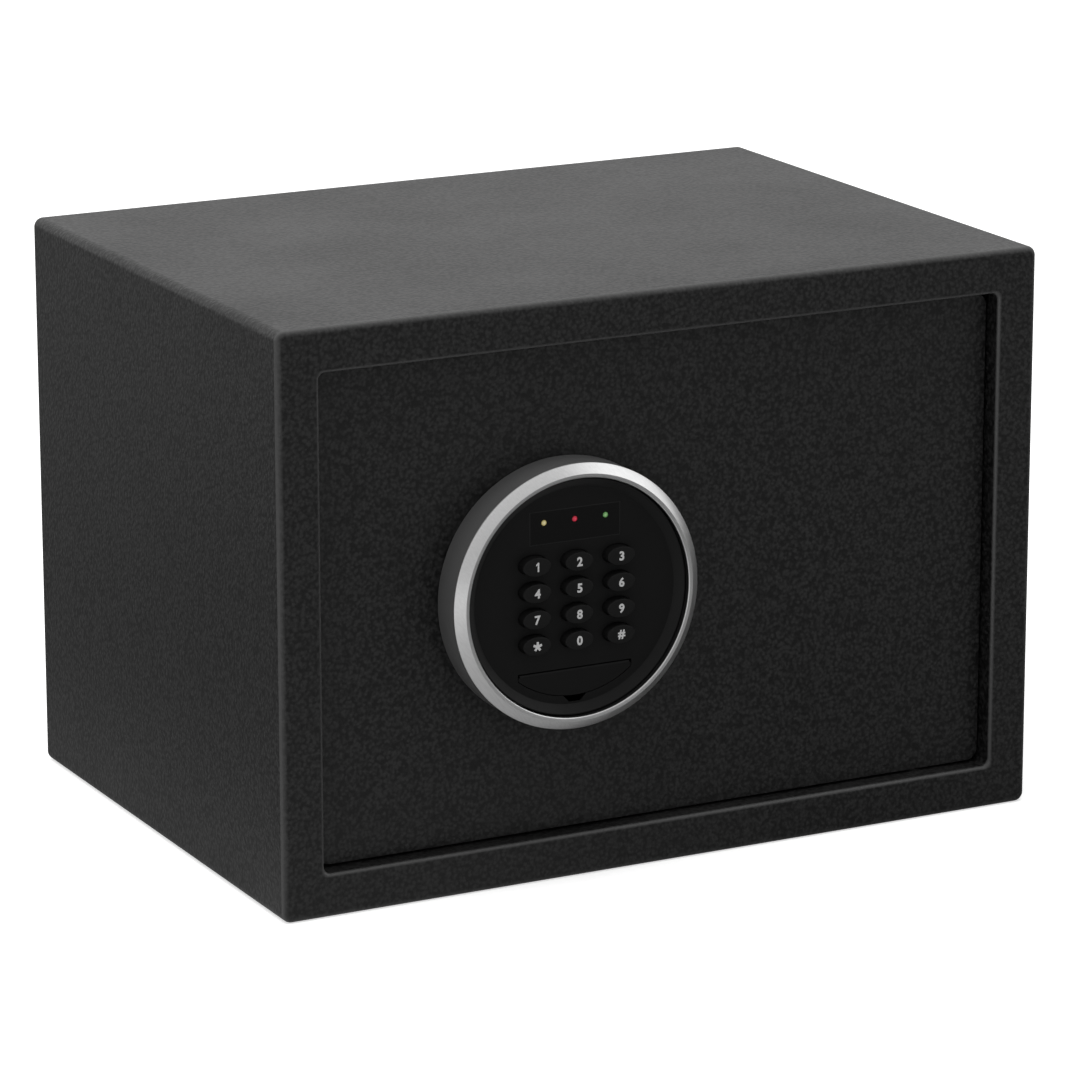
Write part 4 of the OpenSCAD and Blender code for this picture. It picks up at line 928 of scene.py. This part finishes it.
SOFT_EDGES = {
    "back_panel": 0.4, "hinge_blocks": 0.5, "hinge_pins": 0.25, "door_stops": 0.4,
    "floor_mat": 0.5, "door_plate": 0.8, "door_knuckles": 0.4, "bolt_guide": 0.3,
    "guide_studs": 0.12, "inner_cover": 0.8, "cover_fixings": 0.25, "battery_box": 0.3,
    "batteries": 0.4, "battery_cover": 0.2, "reset_button": 0.3, "solenoid_frame": 0.3,
    "solenoid_coil": 0.3, "plunger": 0.25, "bolt_carriage": 0.3, "locking_bolts": 0.5,
    "drive_stud": 0.3, "drive_disc": 0.15, "keypad_housing": 0.2, "keypad_face": 0.15,
    "tube_nut": 0.3, "keypad_board": 0.1, "key_mat": 0.15, "keypad_cable": 0,
    "led_window": 0.1, "key_flap": 0.1, "lock_cylinder": 0.2, "lock_nut": 0.3,
    "lock_plug": 0.12, "cam_arm": 0.2,
}


def make_pieces():
    """Every piece of the safe."""
    make_body()
    make_ring()
    for node in LEGENDS:
        make_key(node)
    for node in ("led_yellow", "led_red", "led_green"):
        make_lamp(node)
    make_spring()
    for node, width in SOFT_EDGES.items():
        dress(softened(node, width), node)
    board = softened("control_board", 0.12)
    paint_board(board)
    dress(board, "control_board")


def mirrored_room(tree, direction):
    """Brightness of the room in reflections: it grows upwards and to the back, and a window
    stands high to the right, where the cosine between its direction and the ray's is near one."""
    part = add(tree, "SeparateXYZ", {"Vector": direction}).outputs
    level = maths(tree, "ADD", maths(tree, "MULTIPLY", part["Z"], 0.2), 0.55)
    level = maths(tree, "ADD", level, maths(tree, "MULTIPLY", part["Y"], 0.23))
    level = maths(tree, "ADD", level, maths(tree, "MULTIPLY", part["X"], -0.05))
    window_aim = (0.82, -0.25, 0.51)
    towards = add(tree, "VectorMath", {0: direction, 1: window_aim},
                  operation="DOT_PRODUCT").outputs["Value"]
    window = add(tree, "MapRange", {"Value": towards, "From Min": 0.767, "From Max": 1.0,
                                    "To Max": 0.72}, interpolation_type="SMOOTHSTEP")
    return maths(tree, "ADD", level, window.outputs["Result"])


def mirrored_floor(tree, place):
    """Brightness of the floor in reflections: in front of the safe it falls from the left to
    the middle and rises again a little to the right and far ahead, and beside the safe it
    grows to the back and close to the wall."""
    part = add(tree, "SeparateXYZ", {"Vector": place}).outputs
    level = maths(tree, "ADD", spread(tree, part["X"], -0.45, 0.08, 0.7, 0.14),
                  spread(tree, part["X"], 0.12, 0.5, 0.0, 0.08))
    far = maths(tree, "MULTIPLY", spread(tree, part["Y"], -0.45, -0.85, 0.0, 0.13),
                spread(tree, part["X"], 0.5, 0.3))
    level = maths(tree, "ADD", level, far)
    beside = maths(tree, "ADD", spread(tree, part["Y"], 0.3, 0.8, 0.1, 0.26),
                   spread(tree, part["X"], -0.3, -0.2, 0.0, 0.2))
    ahead = spread(tree, part["Y"], -0.06, -0.12)
    return maths(tree, "ADD", maths(tree, "MULTIPLY", ahead, level),
                 maths(tree, "MULTIPLY", maths(tree, "SUBTRACT", 1.0, ahead), beside))


def make_world():
    """Surroundings: white to the camera, dimmer from the right as light, toned in reflections."""
    world = bpy.data.worlds.new("studio")
    bpy.context.scene.world = world
    world.use_nodes = True
    tree = world.node_tree
    direction = add(tree, "TexCoord").outputs["Generated"]
    path = add(tree, "LightPath").outputs
    left = add(tree, "SeparateXYZ", {"Vector": direction}).outputs["X"]
    even = blended(tree, spread(tree, left, 0.0, -1.0), grey(0.38), grey(1.1))
    soft = blended(tree, path["Is Glossy Ray"], even, mirrored_room(tree, direction))
    seen = maths(tree, "MAXIMUM", path["Is Camera Ray"], path["Is Transmission Ray"])
    tree.links.new(blended(tree, seen, soft, grey(1.0)), tree.nodes["Background"].inputs["Color"])


def make_floor():
    """Pale floor that keeps the shadow: it glows a little to the camera, so that it is white
    away from the safe, and it is toned in reflections."""
    half = 6.0
    corners = np.array([[-half, -half], [half, -half], [half, half], [-half, half]])
    mesh = bpy.data.meshes.new("floor")
    mesh.from_pydata(np.column_stack([corners, np.full(4, BODY_LOW[2])]).tolist(), [],
                     [[0, 1, 2, 3]])
    floor = link_up("floor", mesh)
    material, tree, shader, place = blank("pale_floor", Base_Color=grey(0.85), Roughness=0.9,
                                          Specular_IOR_Level=0.0)
    path = add(tree, "LightPath").outputs
    glow = add(tree, "Emission", {"Color": grey(1.0), "Strength": 0.55})
    lit = add(tree, "AddShader")
    tree.links.new(shader.outputs[0], lit.inputs[0])
    tree.links.new(glow.outputs[0], lit.inputs[1])
    seen = add(tree, "MixShader", {"Fac": path["Is Camera Ray"]})
    tree.links.new(shader.outputs[0], seen.inputs[1])
    tree.links.new(lit.outputs[0], seen.inputs[2])
    pale = add(tree, "Emission", {"Color": grey(1.0), "Strength": mirrored_floor(tree, place)})
    mirrored = add(tree, "MixShader", {"Fac": path["Is Glossy Ray"]})
    tree.links.new(seen.outputs[0], mirrored.inputs[1])
    tree.links.new(pale.outputs[0], mirrored.inputs[2])
    tree.links.new(mirrored.outputs[0], tree.nodes["Material Output"].inputs["Surface"])
    mesh.materials.append(material)


def make_lamp_box(name, place, aim, size, power):
    """Square soft lamp that looks at a point."""
    lamp = bpy.data.lights.new(name, "AREA")
    lamp.size = size
    lamp.energy = power
    holder = link_up(name, lamp)
    away = np.array(place, float) - np.array(aim, float)
    away /= np.linalg.norm(away)
    side = np.cross([0.0, 0.0, 1.0], away)
    side /= np.linalg.norm(side)
    turn = np.eye(4)
    turn[:3, :3] = np.column_stack([side, np.cross(away, side), away])
    turn[:3, 3] = place
    holder.matrix_world = Matrix(turn.tolist())
    holder.visible_camera = False
    holder.visible_glossy = False


def make_camera():
    """Camera at the photograph's viewing angle."""
    lens = bpy.data.cameras.new("camera")
    lens.sensor_width = 36.0
    lens.lens = 178.836
    lens.shift_x = -0.0035
    lens.shift_y = -0.01325
    lens.clip_end = 50.0
    camera = link_up("camera", lens)
    camera.location = (-1.01097, -1.96252, 0.70654)
    camera.rotation_euler = tuple(math.radians(a) for a in (75.0367, 0.0595, -27.3839))
    bpy.context.scene.camera = camera


make_camera()
make_pieces()
make_world()
make_floor()
make_lamp_box("top_lamp", (-0.1, -0.1, 2.1), (0, 0, 0.12), 1.6, 30.0)
make_lamp_box("back_lamp", (-0.9, 1.6, 1.5), (0, 0, 0.24), 1.0, 8.0)
bpy.context.scene.view_settings.view_transform = "Standard"
